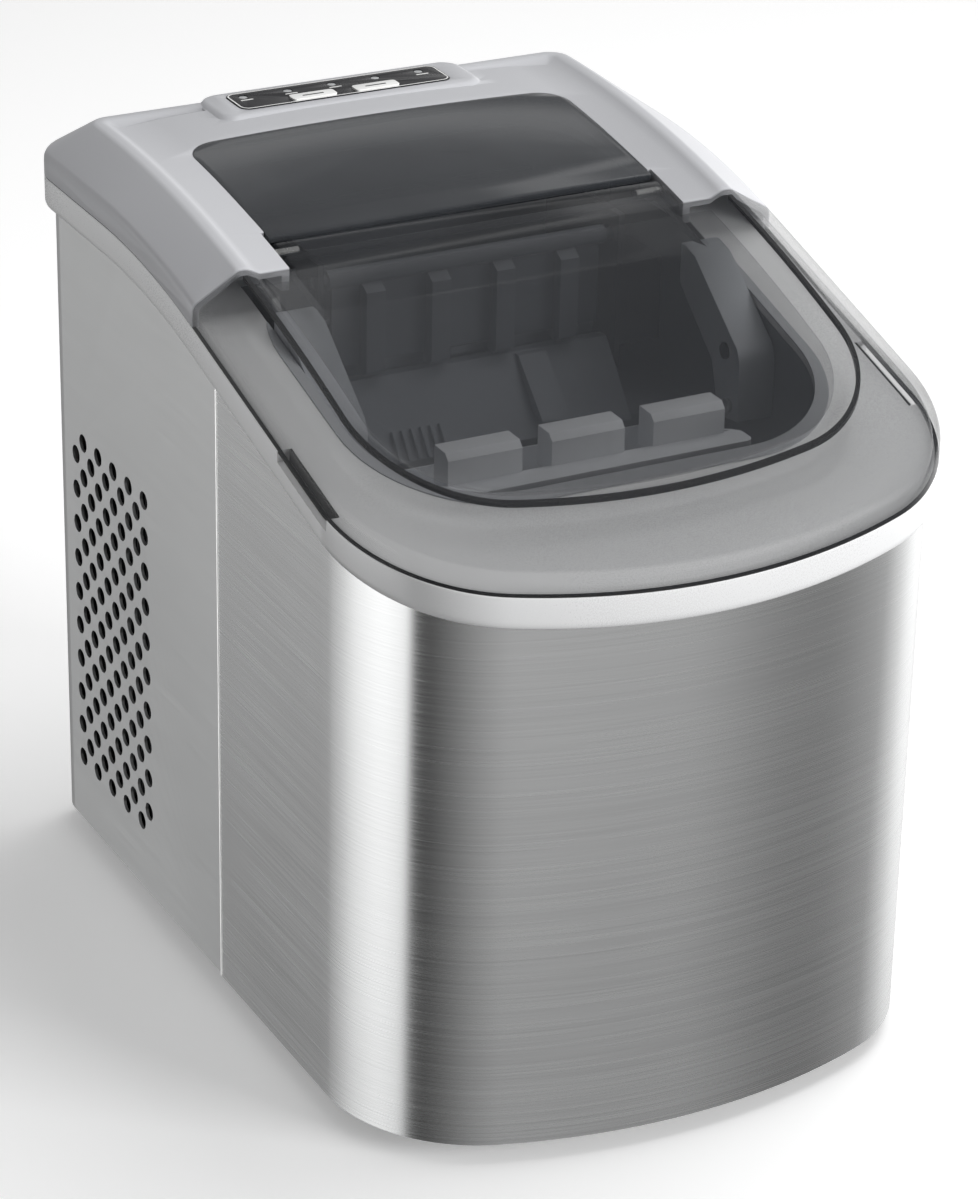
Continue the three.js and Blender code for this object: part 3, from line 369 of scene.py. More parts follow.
def surface(name, colour, roughness, metallic=0.0, grain=(900, 900, 900), grain_depth=0.05, blotch=18,
            spread=0.05, rough_spread=0.06, edge_lift=0.12, coat=0.0, anisotropic=0.0, ior=1.46):
    """A moulded, rolled or painted surface: grain, slow variation of colour and gloss, lighter edges."""
    material = bpy.data.materials.new(name)
    material.use_nodes = True
    nodes, links = material.node_tree.nodes, material.node_tree.links
    shader = nodes["Principled BSDF"]
    shader.inputs["Metallic"].default_value = metallic
    shader.inputs["Coat Weight"].default_value = coat
    shader.inputs["Coat Roughness"].default_value = 0.12
    shader.inputs["IOR"].default_value = ior
    shader.inputs["Anisotropic"].default_value = anisotropic
    shader.inputs["Anisotropic Rotation"].default_value = 0.25

    place = nodes.new("ShaderNodeTexCoord")
    stretch = nodes.new("ShaderNodeMapping")
    stretch.inputs["Scale"].default_value = grain
    fine = nodes.new("ShaderNodeTexNoise")
    fine.inputs["Scale"].default_value = 1.0
    fine.inputs["Detail"].default_value = 3.0
    slow = nodes.new("ShaderNodeTexNoise")
    slow.inputs["Scale"].default_value = blotch
    slow.inputs["Detail"].default_value = 4.0
    links.new(place.outputs["Object"], stretch.inputs["Vector"])
    links.new(stretch.outputs["Vector"], fine.inputs["Vector"])
    links.new(place.outputs["Object"], slow.inputs["Vector"])

    tint = nodes.new("ShaderNodeMix")
    tint.data_type = "RGBA"
    dark = [c * (1 - spread) for c in colour]
    light = [min(c * (1 + spread), 1) for c in colour]
    tint.inputs["A"].default_value = (*dark, 1)
    tint.inputs["B"].default_value = (*light, 1)
    blend = nodes.new("ShaderNodeMath")
    blend.operation = "ADD"
    for socket, noise in enumerate((fine, slow)):
        halved = nodes.new("ShaderNodeMath")
        halved.operation = "MULTIPLY"
        halved.inputs[1].default_value = 0.5
        links.new(noise.outputs["Fac"], halved.inputs[0])
        links.new(halved.outputs[0], blend.inputs[socket])
    spread_out = nodes.new("ShaderNodeMapRange")
    spread_out.inputs["From Min"].default_value = 0.35
    spread_out.inputs["From Max"].default_value = 0.65
    links.new(blend.outputs[0], spread_out.inputs["Value"])
    links.new(spread_out.outputs["Result"], tint.inputs["Factor"])

    # Convex edges, found by pointiness, are made lighter.
    edge = nodes.new("ShaderNodeNewGeometry")
    edge_range = nodes.new("ShaderNodeMapRange")
    edge_range.inputs["From Min"].default_value = 0.52
    edge_range.inputs["From Max"].default_value = 0.6
    edge_range.inputs["To Max"].default_value = edge_lift
    links.new(edge.outputs["Pointiness"], edge_range.inputs["Value"])
    edge_lifted = nodes.new("ShaderNodeMix")
    edge_lifted.data_type = "RGBA"
    edge_lifted.inputs["B"].default_value = (*[min(c * 1.35 + 0.04, 1) for c in colour], 1)
    links.new(edge_range.outputs["Result"], edge_lifted.inputs["Factor"])
    links.new(tint.outputs["Result"], edge_lifted.inputs["A"])
    links.new(edge_lifted.outputs["Result"], shader.inputs["Base Color"])

    gloss = nodes.new("ShaderNodeMapRange")
    gloss.inputs["From Min"].default_value = 0.35
    gloss.inputs["From Max"].default_value = 0.65
    gloss.inputs["To Min"].default_value = max(roughness - rough_spread, 0.02)
    gloss.inputs["To Max"].default_value = min(roughness + rough_spread, 1)
    links.new(blend.outputs[0], gloss.inputs["Value"])
    links.new(gloss.outputs["Result"], shader.inputs["Roughness"])

    bump = nodes.new("ShaderNodeBump")
    bump.inputs["Strength"].default_value = grain_depth
    bump.inputs["Distance"].default_value = 0.0004
    links.new(fine.outputs["Fac"], bump.inputs["Height"])
    links.new(bump.outputs["Normal"], shader.inputs["Normal"])
    if anisotropic:
        along = nodes.new("ShaderNodeTangent")
        along.direction_type = "RADIAL"
        along.axis = "Z"
        links.new(along.outputs["Tangent"], shader.inputs["Tangent"])
    return material


def smoked(name, colour, clear, edge, roughness=0.05):
    """Thin tinted plastic: see-through face on, darker along its edges."""
    material = surface(name, colour, roughness, grain=(60, 60, 60), grain_depth=0.0, rough_spread=0.02,
                       spread=0.08, edge_lift=0.0, ior=1.49)
    nodes, links = material.node_tree.nodes, material.node_tree.links
    rim = nodes.new("ShaderNodeLayerWeight")
    rim.inputs["Blend"].default_value = 0.35
    density = nodes.new("ShaderNodeMapRange")
    density.inputs["From Min"].default_value = 0.1
    density.inputs["From Max"].default_value = 0.95
    density.inputs["To Min"].default_value = clear
    density.inputs["To Max"].default_value = edge
    links.new(rim.outputs["Facing"], density.inputs["Value"])
    links.new(density.outputs["Result"], nodes["Principled BSDF"].inputs["Alpha"])
    return material


STEEL = surface("brushed_steel", (0.60, 0.605, 0.605), 0.26, 1.0, grain=(9, 9, 1300), grain_depth=0.03,
                blotch=5, spread=0.035, rough_spread=0.05, anisotropic=0.75)
# A lighter copy of the wrap's stainless for its rolled seam edges: painted highlight.
EDGE_STEEL_HIGHLIGHT = surface("edge_steel_painted_highlight", (0.92, 0.92, 0.91), 0.42, 1.0, grain=(900, 900, 90), grain_depth=0.03,
                     blotch=30, spread=0.03)
SATIN = surface("satin_steel", (0.52, 0.525, 0.525), 0.40, 1.0, grain=(30, 30, 1200), grain_depth=0.03,
                blotch=7, spread=0.02, rough_spread=0.03, anisotropic=0.5)
SILVER = surface("silver_plastic", (0.50, 0.505, 0.527), 0.38, 0.12, grain=(2600, 2600, 2600),
                 grain_depth=0.05, blotch=14, spread=0.02, coat=0.05)
LIP = surface("pale_lip_plastic", (0.84, 0.845, 0.85), 0.30, 0.1, grain=(2200, 2200, 2200),
              grain_depth=0.03, blotch=12, spread=0.02, coat=0.15)
SMOKE = smoked("smoked_plastic", (0.026, 0.028, 0.032), 0.15, 0.60, 0.06)
# Smoke for the extra skin under the middle of the lid: painted shade.
SMOKE_SHADE_SHEET = smoked("smoked_shade_sheet", (0.026, 0.028, 0.032), 0.06, 0.50, 0.20)
# Near-black, near-opaque smoke for the bead under the lid's crest: a painted shade line.
SMOKE_SHADE_LINE = smoked("smoked_painted_shade_line", (0.006, 0.006, 0.007), 0.80, 0.98, 0.30)
WINDOW_SMOKE = smoked("window_smoke", (0.032, 0.035, 0.040), 0.60, 0.88, 0.10)
SHOVEL_GREY = surface("shovel_plastic", (0.12, 0.127, 0.14), 0.40, grain=(1800, 1800, 1800),
                      grain_depth=0.06, blotch=20, spread=0.04)
GREY = surface("grey_plastic", (0.21, 0.222, 0.243), 0.42, grain=(1800, 1800, 1800), grain_depth=0.06,
               blotch=20, spread=0.04)
RIM = surface("rim_plastic", (0.42, 0.43, 0.45), 0.42, grain=(1800, 1800, 1800), grain_depth=0.06,
              blotch=20, spread=0.04)
# Lighter copies of the chamber's grey plastic for the sensor housings and the basket: their colour is raised
# as painted light, for the light that falls on the front of the chamber.
HOUSING_PAINTED_LIGHT = surface("housing_plastic_painted_light", (0.40, 0.415, 0.44), 0.40, grain=(1800, 1800, 1800), grain_depth=0.06,
                  blotch=20, spread=0.04)
BASKET_PAINTED_LIGHT = surface("basket_plastic_painted_light", (0.84, 0.86, 0.89), 0.38, grain=(1800, 1800, 1800), grain_depth=0.06,
                 blotch=20, spread=0.04)
LINER = surface("liner_plastic", (0.17, 0.18, 0.20), 0.38, grain=(1500, 1500, 1500), grain_depth=0.05,
                blotch=12, spread=0.05)
BLACK_FILM = surface("fascia_film", (0.010, 0.010, 0.012), 0.30, ior=1.3, grain=(3000, 3000, 3000),
                     grain_depth=0.03, blotch=60, spread=0.1, edge_lift=0.0)
WHITE = surface("white_plastic", (0.80, 0.80, 0.79), 0.34, grain=(3000, 3000, 3000), grain_depth=0.03,
                blotch=60, spread=0.02)
LENS = surface("lamp_lens", (0.42, 0.43, 0.44), 0.25, grain=(2500, 2500, 2500), grain_depth=0.05, blotch=90,
               coat=0.4)
DARK = surface("dark_plastic", (0.022, 0.023, 0.026), 0.5, grain=(1600, 1600, 1600), grain_depth=0.12,
               blotch=30, spread=0.12)
RUBBER = surface("black_rubber", (0.018, 0.018, 0.018), 0.8, grain=(1200, 1200, 1200), grain_depth=0.25,
                 blotch=50, spread=0.2)
COPPER = surface("drawn_copper", (0.55, 0.26, 0.14), 0.32, 1.0, grain=(300, 300, 300), grain_depth=0.06,
                 blotch=40, spread=0.18, rough_spread=0.12)
ENAMEL = surface("black_enamel", (0.014, 0.014, 0.016), 0.34, grain=(700, 700, 700), grain_depth=0.12,
                 blotch=25, spread=0.15, coat=0.3)
PLATED = surface("plated_metal", (0.62, 0.62, 0.61), 0.24, 1.0, grain=(1500, 1500, 1500), grain_depth=0.05,
                 blotch=70, spread=0.06)
FINS = surface("coated_fins", (0.030, 0.031, 0.034), 0.5, 0.3, grain=(600, 2400, 600), grain_depth=0.12,
               blotch=40, spread=0.15)
FOAM = surface("foam_beads", (0.72, 0.70, 0.62), 0.9, grain=(420, 420, 420), grain_depth=0.5, blotch=220,
               spread=0.06)
BOARD = surface("circuit_board", (0.02, 0.11, 0.045), 0.45, grain=(500, 500, 500), grain_depth=0.08,
                blotch=160, spread=0.35)
HOSE = surface("milky_hose", (0.60, 0.62, 0.63), 0.35, grain=(400, 400, 400), grain_depth=0.05, blotch=30)


def finish(piece, material, slot, body, *nodes):
    """Gives a new piece its material, its body and the CAD nodes that it stands for; its record slot argument
    is not used.
    """
    piece.data.materials.clear()
    piece.data.materials.append(material)
    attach(piece, body)
    if nodes:
        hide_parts(*nodes)
    return piece


# ------------------------------------------------------------------ camera and light

HEADING, PITCH, ROLL = 28.01, 25.75, 1.2
EYE = Vector((-0.6816, -1.2753, 0.8423))
FOCAL_LENGTH, SENSOR = 125.5646, 36
LAMP_TARGET = Vector((0, 0, 0.2))


def make_camera():
    data = bpy.data.cameras.new("camera")
    data.sensor_width = SENSOR
    data.lens = FOCAL_LENGTH
    data.clip_start = 0.05
    camera = bpy.data.objects.new("camera", data)
    turn = (Matrix.Rotation(math.radians(-HEADING), 4, "Z")
            @ Matrix.Rotation(math.radians(90 - PITCH), 4, "X")
            @ Matrix.Rotation(math.radians(ROLL), 4, "Z"))
    camera.matrix_world = Matrix.Translation(EYE) @ turn
    scene.collection.objects.link(camera)
    scene.camera = camera


def softbox(name, place, size, power):
    """A square lamp that faces the object and stays out of its reflections, which show the world instead."""
    data = bpy.data.lights.new(name, "AREA")
    data.shape = "RECTANGLE"
    data.size, data.size_y = size, size
    data.energy = power
    lamp = bpy.data.objects.new(name, data)
    lamp.location = place
    lamp.rotation_euler = (LAMP_TARGET - Vector(place)).to_track_quat("-Z", "Y").to_euler()
    lamp.visible_glossy = False
    scene.collection.objects.link(lamp)


# brightness of the studio by compass direction, degrees from +X towards +Y
STUDIO = [(0, 1.0), (14, 1.4), (34, 1.4), (64, 0.22), (104, 0.24), (112, 0.32), (120, 0.60), (136, 0.92),
          (150, 1.4), (168, 1.7), (192, 1.6), (197, 0.08), (208, 0.10), (224, 0.25), (242, 0.44),
          (262, 0.60), (296, 0.54), (316, 0.30), (328, 0.27), (342, 0.56), (352, 0.85), (360, 1.0)]
# brightness overhead, by the sine of the height above the horizon
OVERHEAD = [(0.0, 0.35), (0.42, 0.4), (0.48, 1.2), (0.53, 1.2), (0.57, 0.55), (1.0, 0.5)]
DIFFUSE_LEVEL = 0.22


def make_world():
    """White behind the object, an even glow on matt surfaces and a studio of panels in the reflections."""
    world = bpy.data.worlds.new("studio")
    world.use_nodes = True
    scene.world = world
    nodes, links = world.node_tree.nodes, world.node_tree.links
    background = nodes["Background"]

    def ranged(source, low, high, to_low, to_high):
        node = nodes.new("ShaderNodeMapRange")
        limits = {"From Min": low, "From Max": high, "To Min": to_low, "To Max": to_high}
        for socket, value in limits.items():
            node.inputs[socket].default_value = value
        links.new(source, node.inputs["Value"])
        return node.outputs["Result"]

    def mixed(factor, first, second):
        node = nodes.new("ShaderNodeMix")
        node.data_type = "RGBA"
        for socket, value in (("A", first), ("B", second)):
            if isinstance(value, float):
                node.inputs[socket].default_value = (value, value, value, 1)
            else:
                links.new(value, node.inputs[socket])
        links.new(factor, node.inputs["Factor"])
        return node.outputs["Result"]

    def ramped(source, stops):
        node = nodes.new("ShaderNodeValToRGB")
        elements = node.color_ramp.elements
        elements[0].position, elements[1].position = stops[0][0], stops[-1][0]
        for position, _ in stops[1:-1]:
            elements.new(position)
        for element, (_, level) in zip(elements, stops):
            element.color = (level, level, level, 1)
        links.new(source, node.inputs["Fac"])
        return node.outputs["Color"]

    place = nodes.new("ShaderNodeTexCoord")
    split = nodes.new("ShaderNodeSeparateXYZ")
    links.new(place.outputs["Generated"], split.inputs[0])
    compass = nodes.new("ShaderNodeMath")
    compass.operation = "ARCTAN2"
    links.new(split.outputs["Y"], compass.inputs[0])
    links.new(split.outputs["X"], compass.inputs[1])
    around = [((degrees + 180) % 360 / 360, level) for degrees, level in STUDIO[:-1]]
    ring = ramped(ranged(compass.outputs[0], -math.pi, math.pi, 0, 1), sorted(around))

    dim = nodes.new("ShaderNodeVectorMath")
    dim.operation = "SCALE"
    links.new(ring, dim.inputs[0])
    links.new(ranged(split.outputs["Z"], -0.58, -0.18, 0.42, 1.8), dim.inputs["Scale"])
    overhead = ramped(split.outputs["Z"], OVERHEAD)
    glossy = mixed(ranged(split.outputs["Z"], 0.15, 0.4, 0, 1), dim.outputs[0], overhead)
    path = nodes.new("ShaderNodeLightPath")
    lit = mixed(path.outputs["Is Diffuse Ray"], glossy, DIFFUSE_LEVEL)
    links.new(mixed(path.outputs["Is Camera Ray"], lit, 1.0), background.inputs["Color"])


def make_floor():
    far = 6000
    rim = [(-far, -far, 0), (far, -far, 0), (far, far, 0), (-far, far, 0)]
    floor = new_piece("floor", rim, [(0, 1, 2, 3)])
    floor.data.materials.append(surface("floor", (0.93, 0.93, 0.93), 0.9, grain=(3, 3, 3), grain_depth=0.0,
                                        blotch=1, spread=0.005, edge_lift=0.0))
    shader = floor.data.materials[0].node_tree.nodes["Principled BSDF"]
    shader.inputs["Emission Color"].default_value = (1, 1, 1, 1)
    shader.inputs["Emission Strength"].default_value = 0.25
    floor.visible_glossy = False
    floor.visible_diffuse = False


make_camera()
make_world()
make_floor()
softbox("top", (0.75, 0.1, 1.75), 1.3, 20)
softbox("front_right", (2.9, -3.8, 1.1), 2.2, 250)
scene.view_settings.view_transform = "Standard"
scene.view_settings.look = "None"


# ------------------------------------------------------------------ casing

def front_wrap():
    """One bent sheet, from the seam on the left, round the front, to the seam on the right."""
    def sheet(offset):
        right = [p for p in half_outline(BODY, offset) if p[1] < -GAP / 2]
        right.append((BODY["half"] + offset, -GAP / 2))
        return [(-x, y) for x, y in right[:0:-1]] + right

    def level(points, z):
        return [(x, y, z) for x, y in points]

    def sloped(points):
        return [(x, y, lip_under(y) - GAP) for x, y in points]
    outer, inner = sheet(0), sheet(-PANEL)
    low, hem = wrap_low.z, 0.35
    piece = swept("front_wrap_sheet", [
        level(inner, low), level(outer, low), level(outer, low + hem), sloped(outer), sloped(inner),
    ])
    finish(smoothed(piece, 40), STEEL, "stainless_wrap", "casing", "front_wrap")


def seam_beads():
    """The rolled rear edges of the wrap, which catch the light; their steel is lighter than the wrap's, a
    painted highlight on the real rolled edge.
    """
    radius, short = 0.45, 0.2
    top = lip_under(0) - GAP - short
    for name, side in SIDES.items():
        section = [(side * -x, y) for x, y in arc(0, 0, radius, 90, 270, 8)][::-side]
        bead = prism(section, wrap_low.z + short, top)
        bead.data.transform(Matrix.Translation((side * (HALF - 0.1) * MM, -0.6 * MM, 0)))
        bead.name = name + "_seam_bead"
        finish(smoothed(bead), EDGE_STEEL_HIGHLIGHT, "stainless_wrap", "casing")


def vent_circles():
    return [(VENT_Y - VENT_PITCH * column, VENT_Z - VENT_PITCH * row)
            for column in range(VENT_COLUMNS) for row in range(1 - column % 2, VENT_ROWS, 2)]


def punched_side(side):
    """The flat side of the rear cover with its round vents, as a filled curve the thickness of the sheet."""
    corner = BODY["back"] - BODY["rear"]
    steps = 40
    edge = [(GAP / 2, cover_low.z), (corner, cover_low.z)]
    edge += [(corner + (GAP / 2 - corner) * i / steps, 0) for i in range(steps + 1)]
    edge = [(y, z or lip_under(y) - GAP) for y, z in edge]
    loops = [edge] + [arc(y, z, VENT_RADIUS, 0, 345, 23) for y, z in vent_circles()]
    curve = bpy.data.curves.new("punched", "CURVE")
    curve.dimensions = "2D"
    curve.fill_mode = "BOTH"
    curve.extrude = PANEL / 2 * MM
    for loop in loops:
        spline = curve.splines.new("POLY")
        spline.points.add(len(loop) - 1)
        for point, (y, z) in zip(spline.points, loop):
            point.co = (y * MM, z * MM, 0, 1)
        spline.use_cyclic_u = True
    holder = bpy.data.objects.new("punched", curve)
    scene.collection.objects.link(holder)
    graph = bpy.context.evaluated_depsgraph_get()
    graph.update()
    mesh = bpy.data.meshes.new_from_object(holder.evaluated_get(graph))
    middle = side * (HALF - PANEL / 2) * MM
    mesh.transform(Matrix(((0, 0, 1, middle), (1, 0, 0, 0), (0, 1, 0, 0), (0, 0, 0, 1))))
    bpy.data.objects.remove(holder)
    bpy.data.curves.remove(curve)
    piece = bpy.data.objects.new("cover_side", mesh)
    scene.collection.objects.link(piece)
    return piece


def cover_back():
    """The rear corners and the back panel, one bent sheet."""
    def sheet(offset):
        start = BODY["back"] - BODY["rear"]
        right = [p for p in half_outline(BODY, offset) if p[1] >= start - 0.01]
        return right + [(-x, y) for x, y in right[-2::-1]]
    bottom, top = cover_low.z, lip_under(BODY["back"]) - GAP
    edges = ((-PANEL, bottom), (0, bottom), (0, top), (-PANEL, top))
    return swept("cover_back", [[(x, y, z) for x, y in sheet(offset)] for offset, z in edges])


def rear_cover():
    inlet_low, inlet_high = corners("power_inlet")
    x, z = (inlet_low.x + inlet_high.x) / 2, (inlet_low.z + inlet_high.z) / 2
    gland_hole = 8.2
    back = cut(cover_back(), rod("Y", gland_hole, 150, 180, z, x))
    sides = [punched_side(-1), punched_side(1)]
    work = bmesh.new()
    for part in (back, *sides):
        work.from_mesh(part.data)
    bmesh.ops.remove_doubles(work, verts=work.verts, dist=0.00001)
    mesh = bpy.data.meshes.new("rear_cover_sheet")
    work.to_mesh(mesh)
    work.free()
    for part in (back, *sides):
        bpy.data.objects.remove(part)
    piece = bpy.data.objects.new("rear_cover_sheet", mesh)
    scene.collection.objects.link(piece)
    finish(smoothed(piece, 30), SATIN, "satin_cover", "casing", "rear_cover")


def deck_opening():
    """The way down into the ice chamber."""
    half, corner = OPENING["half"], OPENING["corner"]
    return prism(rounded_rectangle(-half, half, OPENING["front"], OPENING["back"], corner, 16), 150, OVER_ALL)


def notch_bar(near, far, inset, rise, fall):
    """A bar that follows the lip's top along a finger notch, from fall below it to rise above it."""
    front, back = NOTCH_FRONT + inset, NOTCH_BACK - inset
    bars = []
    for side in SIDES.values():
        bar = below(lambda y: lip_top(y) + rise, front, back, UNDER_ALL, steps=8)
        keep(bar, strip(side, near, far, -120, 0, UNDER_ALL, OVER_ALL))
        bars.append(cut(bar, below(lambda y: lip_top(y) - fall, -110, -50, 90, 131, 8)))
    return bars


def top_frame():
    """The pale lip: rounded under its outer edge, with a deck that reaches in to the ice chamber."""
    columns = []
    for (x, y), (ix, iy) in zip(full_outline(BODY, LIP_OUT), full_outline(BODY, LIP_OUT - 6)):
        columns.append(softened([
            (ix, iy, lip_under(y)), (x, y, lip_under(y)), (x, y, lip_top(y)), (ix, iy, lip_top(y)),
        ], (3.6, 0.9), 6))
    piece = lofted("top_frame_lip", [[c[k] for c in columns] for k in range(len(columns[0]))])
    deck = 3
    inside = keep(prism(full_outline(BODY, -PANEL - GAP), 150, OVER_ALL),
                  below(lambda y: lip_top(y) - deck, -180, 180, 90))
    cut(piece, inside, deck_opening(), *notch_bar(NOTCH_IN, 125, 0, 20, NOTCH_DEEP))
    finish(smoothed(piece, 28), LIP, "pale_lip", "casing", "top_frame")


def chamber_rim():
    """The grey rim of the liner, which lies on the deck round the opening."""
    half, corner = TUB_HALF + 2, OPENING["corner"] + 4
    rim = keep(prism(rounded_rectangle(-half, half, OPENING["front"] - 6, 40, corner, 16), 150, OVER_ALL),
               below(lambda y: lip_top(y) + 0.4, -180, 6, UNDER_ALL))
    cut(rim, below(lambda y: lip_top(y) - 0.2, -181, 7, UNDER_ALL - 1, 131), deck_opening())
    rim.name = "chamber_rim"
    finish(smoothed(rim), RIM, "grey_plastic", "casing")


def lid_seal_and_notch_shade():
    """A thin black bead on the lip, under the edge of the top and the lid, and a black pad on the inner wall
    of each notch, painted shade in the notch's recess.
    """
    outer, inner = LIP_OUT - 0.25, LIP_OUT - 1.6
    sunk, proud = -0.9, 0.22
    edges = ((inner, sunk), (outer, sunk), (outer, proud), (inner, proud))
    seal_and_shade_pads = swept("lid_seal_and_notch_shade", [[(x, y, lip_top(y) + rise) for x, y in full_outline(BODY, offset)]
                              for offset, rise in edges], closed=True)
    # The black pads in the finger notches are painted shade for the recesses.
    add(seal_and_shade_pads, *notch_bar(NOTCH_IN + 0.1, NOTCH_IN + 0.9, 0.4, 0.1, NOTCH_DEEP - 0.1))
    finish(smoothed(seal_and_shade_pads), RUBBER, "black_rubber", "casing")


def top_solid(name, inset, drop):
    """The whole top as one solid: skirt, chamfer, ridge and the lower area inside it."""
    outer = LIP_OUT - inset
    columns = []
    for a, b, c, d in zip(full_outline(BODY, outer), full_outline(RIDGE, -inset * 0.4),
                          full_outline(RIDGE, -4), full_outline(RIDGE, -9)):
        points = [
            (*a, lip_top(a[1]) + GAP - drop), (*a, skirt_top(a[1]) - inset * 0.8),
            (*b, ridge_top(b[1]) - inset), (*c, ridge_top(c[1]) - inset),
            (*d, ridge_top(d[1]) - DECK_DROP - inset),
        ]
        columns.append(softened(points, (2.6, 1.4, 1.6), 5))
    return lofted(name, [[c[k] for c in columns] for k in range(len(columns[0]))])


def top_shell():
    return cut(top_solid("top_shell", 0, 0), top_solid("hollow", SHELL, 4))


shell = top_shell()

WINDOW_FRONT = corners("upper_window")[0].y
WINDOW_HALF, WINDOW_BACK, WINDOW_CORNER = 80.5, 110, 12


def window_outline(grow):
    half, corner = WINDOW_HALF, WINDOW_CORNER
    points = [(-half - grow, WINDOW_FRONT - grow), (half + grow, WINDOW_FRONT - grow)]
    points += arc(half - corner, WINDOW_BACK - corner, corner + grow, 0, 90, 14)
    points += arc(corner - half, WINDOW_BACK - corner, corner + grow, 90, 180, 14)
    return points


fascia_low, fascia_high = corners("control_fascia")
FASCIA_CORNER = 4


def rear_bezel():
    top = fascia_high.z - 0.3
    flares = ((2.2, 302), (2.2, top - 1.9), (1.5, top - 1.3), (0.5, top - 0.35), (-1, top))
    pod = stacked([(rounded_rectangle(-55 - g, 55 + g, 126.5 - g, 152 + g * 0.2, 6 + g * 0.2, 10), z)
                   for g, z in flares])
    pod_hollow = prism(rounded_rectangle(-52, 52, 129.5, 149, 5), 290, 304.6)
    recess = prism(rounded_rectangle(fascia_low.x - GAP, fascia_high.x + GAP, fascia_low.y - GAP,
                                     fascia_high.y + GAP, FASCIA_CORNER + GAP, 10),
                   fascia_low.z - GAP, OVER_ALL)
    piece = copied(shell)
    add(piece, pod)
    arm_end = ARM_END + 0.8
    cut(piece, pod_hollow, recess, block(-43, 42, 130.8, 148.6, 280, OVER_ALL),
        prism(window_outline(GAP), 280, OVER_ALL),
        block(-CHEEK_IN, CHEEK_IN, -200, WINDOW_FRONT + 4, 270, OVER_ALL),
        block(-130, 130, -200, arm_end, 200, OVER_ALL))
    for side in SIDES.values():
        cheek = below(lambda y: ridge_top(y) - DECK_DROP - 1, arm_end, CHEEK_BACK, 282, steps=12)
        add(piece, keep(cheek, strip(side, CHEEK_IN, CHEEK_OUT, 0, 60, 270, OVER_ALL)))
    cut(piece, rod("X", PIN_HOLE, -90, 90, HINGE_Y, HINGE_Z, 20))
    piece.name = "rear_bezel_cover"
    finish(eased(piece, 0.35), SILVER, "silver_plastic", "casing", "rear_bezel")


def upper_window():
    piece = keep(copied(shell), prism(window_outline(0), 280, OVER_ALL))
    piece.name = "upper_window_pane"
    finish(eased(piece, 0.4), WINDOW_SMOKE, "smoked_clear", "casing", "upper_window")


def lid():
    plan = [(-130, -200), (130, -200), (130, ARM_END), (TONGUE, ARM_END), (TONGUE, HINGE_Y),
            (-TONGUE, HINGE_Y), (-TONGUE, ARM_END), (-130, ARM_END)]
    piece = keep(copied(shell), prism(plan, 200, 330))
    add(piece, rod("X", BARREL, -TONGUE, TONGUE, HINGE_Y, HINGE_Z, 28))
    for side in SIDES.values():
        x0, x1 = sorted((side * TONGUE, side * (TONGUE - 2)))
        add(piece, prism([
            (-18, ridge_top(-18) - DECK_DROP - 1), (-4, ridge_top(-4) - 9), (HINGE_Y, HINGE_Z - 2),
            (HINGE_Y, ridge_top(HINGE_Y) - DECK_DROP - 1), (5, ridge_top(5) - DECK_DROP - 1),
        ], x0, x1, "X"))
        cut(piece, side_rod(side, TONGUE - 10, TONGUE + 1, PIN_HOLE, HINGE_Y, HINGE_Z, 20))
    piece.name = "lid_clear"
    finish(eased(piece, 0.4), SMOKE, "smoked_clear", "lid", "lid")


def lid_crest_shade_line():
    """A dark bead under the crest of the lid's ridge: painted shade for the dark line that the bent clear
    plastic shows along its crest.
    """
    def line(offset, drop):
        right = [p for p in half_outline(RIDGE, offset) if p[1] < ARM_END - 2]
        path = [(-x, y) for x, y in right[:0:-1]] + right
        return [(x, y, ridge_top(y) - drop) for x, y in path]
    piece = swept("lid_crest_shade_line", [line(-2.7, 2.5), line(-1.0, 2.3), line(-1.0, 0.8), line(-2.7, 0.8)])
    finish(smoothed(piece), SMOKE_SHADE_LINE, "smoked_clear", "lid")


def lid_shade_sheet():
    """A second tinted skin under the middle of the lid, painted shade that makes the middle darker than the
    flange round it.
    """
    under, thick = DECK_DROP + SHELL + 0.1, 0.8
    shade_sheet = keep(prism(full_outline(RIDGE, -10.5), 150, OVER_ALL),
                 below(lambda y: ridge_top(y) - under, -180, ARM_END - 3, UNDER_ALL))
    cut(shade_sheet, below(lambda y: ridge_top(y) - under - thick, -181, ARM_END, UNDER_ALL - 1, 131))
    shade_sheet.name = "lid_inner_shade_sheet"
    finish(smoothed(shade_sheet), SMOKE_SHADE_SHEET, "smoked_clear", "lid")


# ------------------------------------------------------------------ controls

guide_low, guide_high = corners("light_guide")
LENS_COUNT, LENS_PITCH, LENS_FIRST, LENS_RADIUS = 5, 19.1, -39.8, 1.7
LENS_Y = (guide_low.y + guide_high.y) / 2
LENS_PLACES = [LENS_FIRST + LENS_PITCH * i for i in range(LENS_COUNT)]
BUTTONS = ("on_off_button", "select_button")


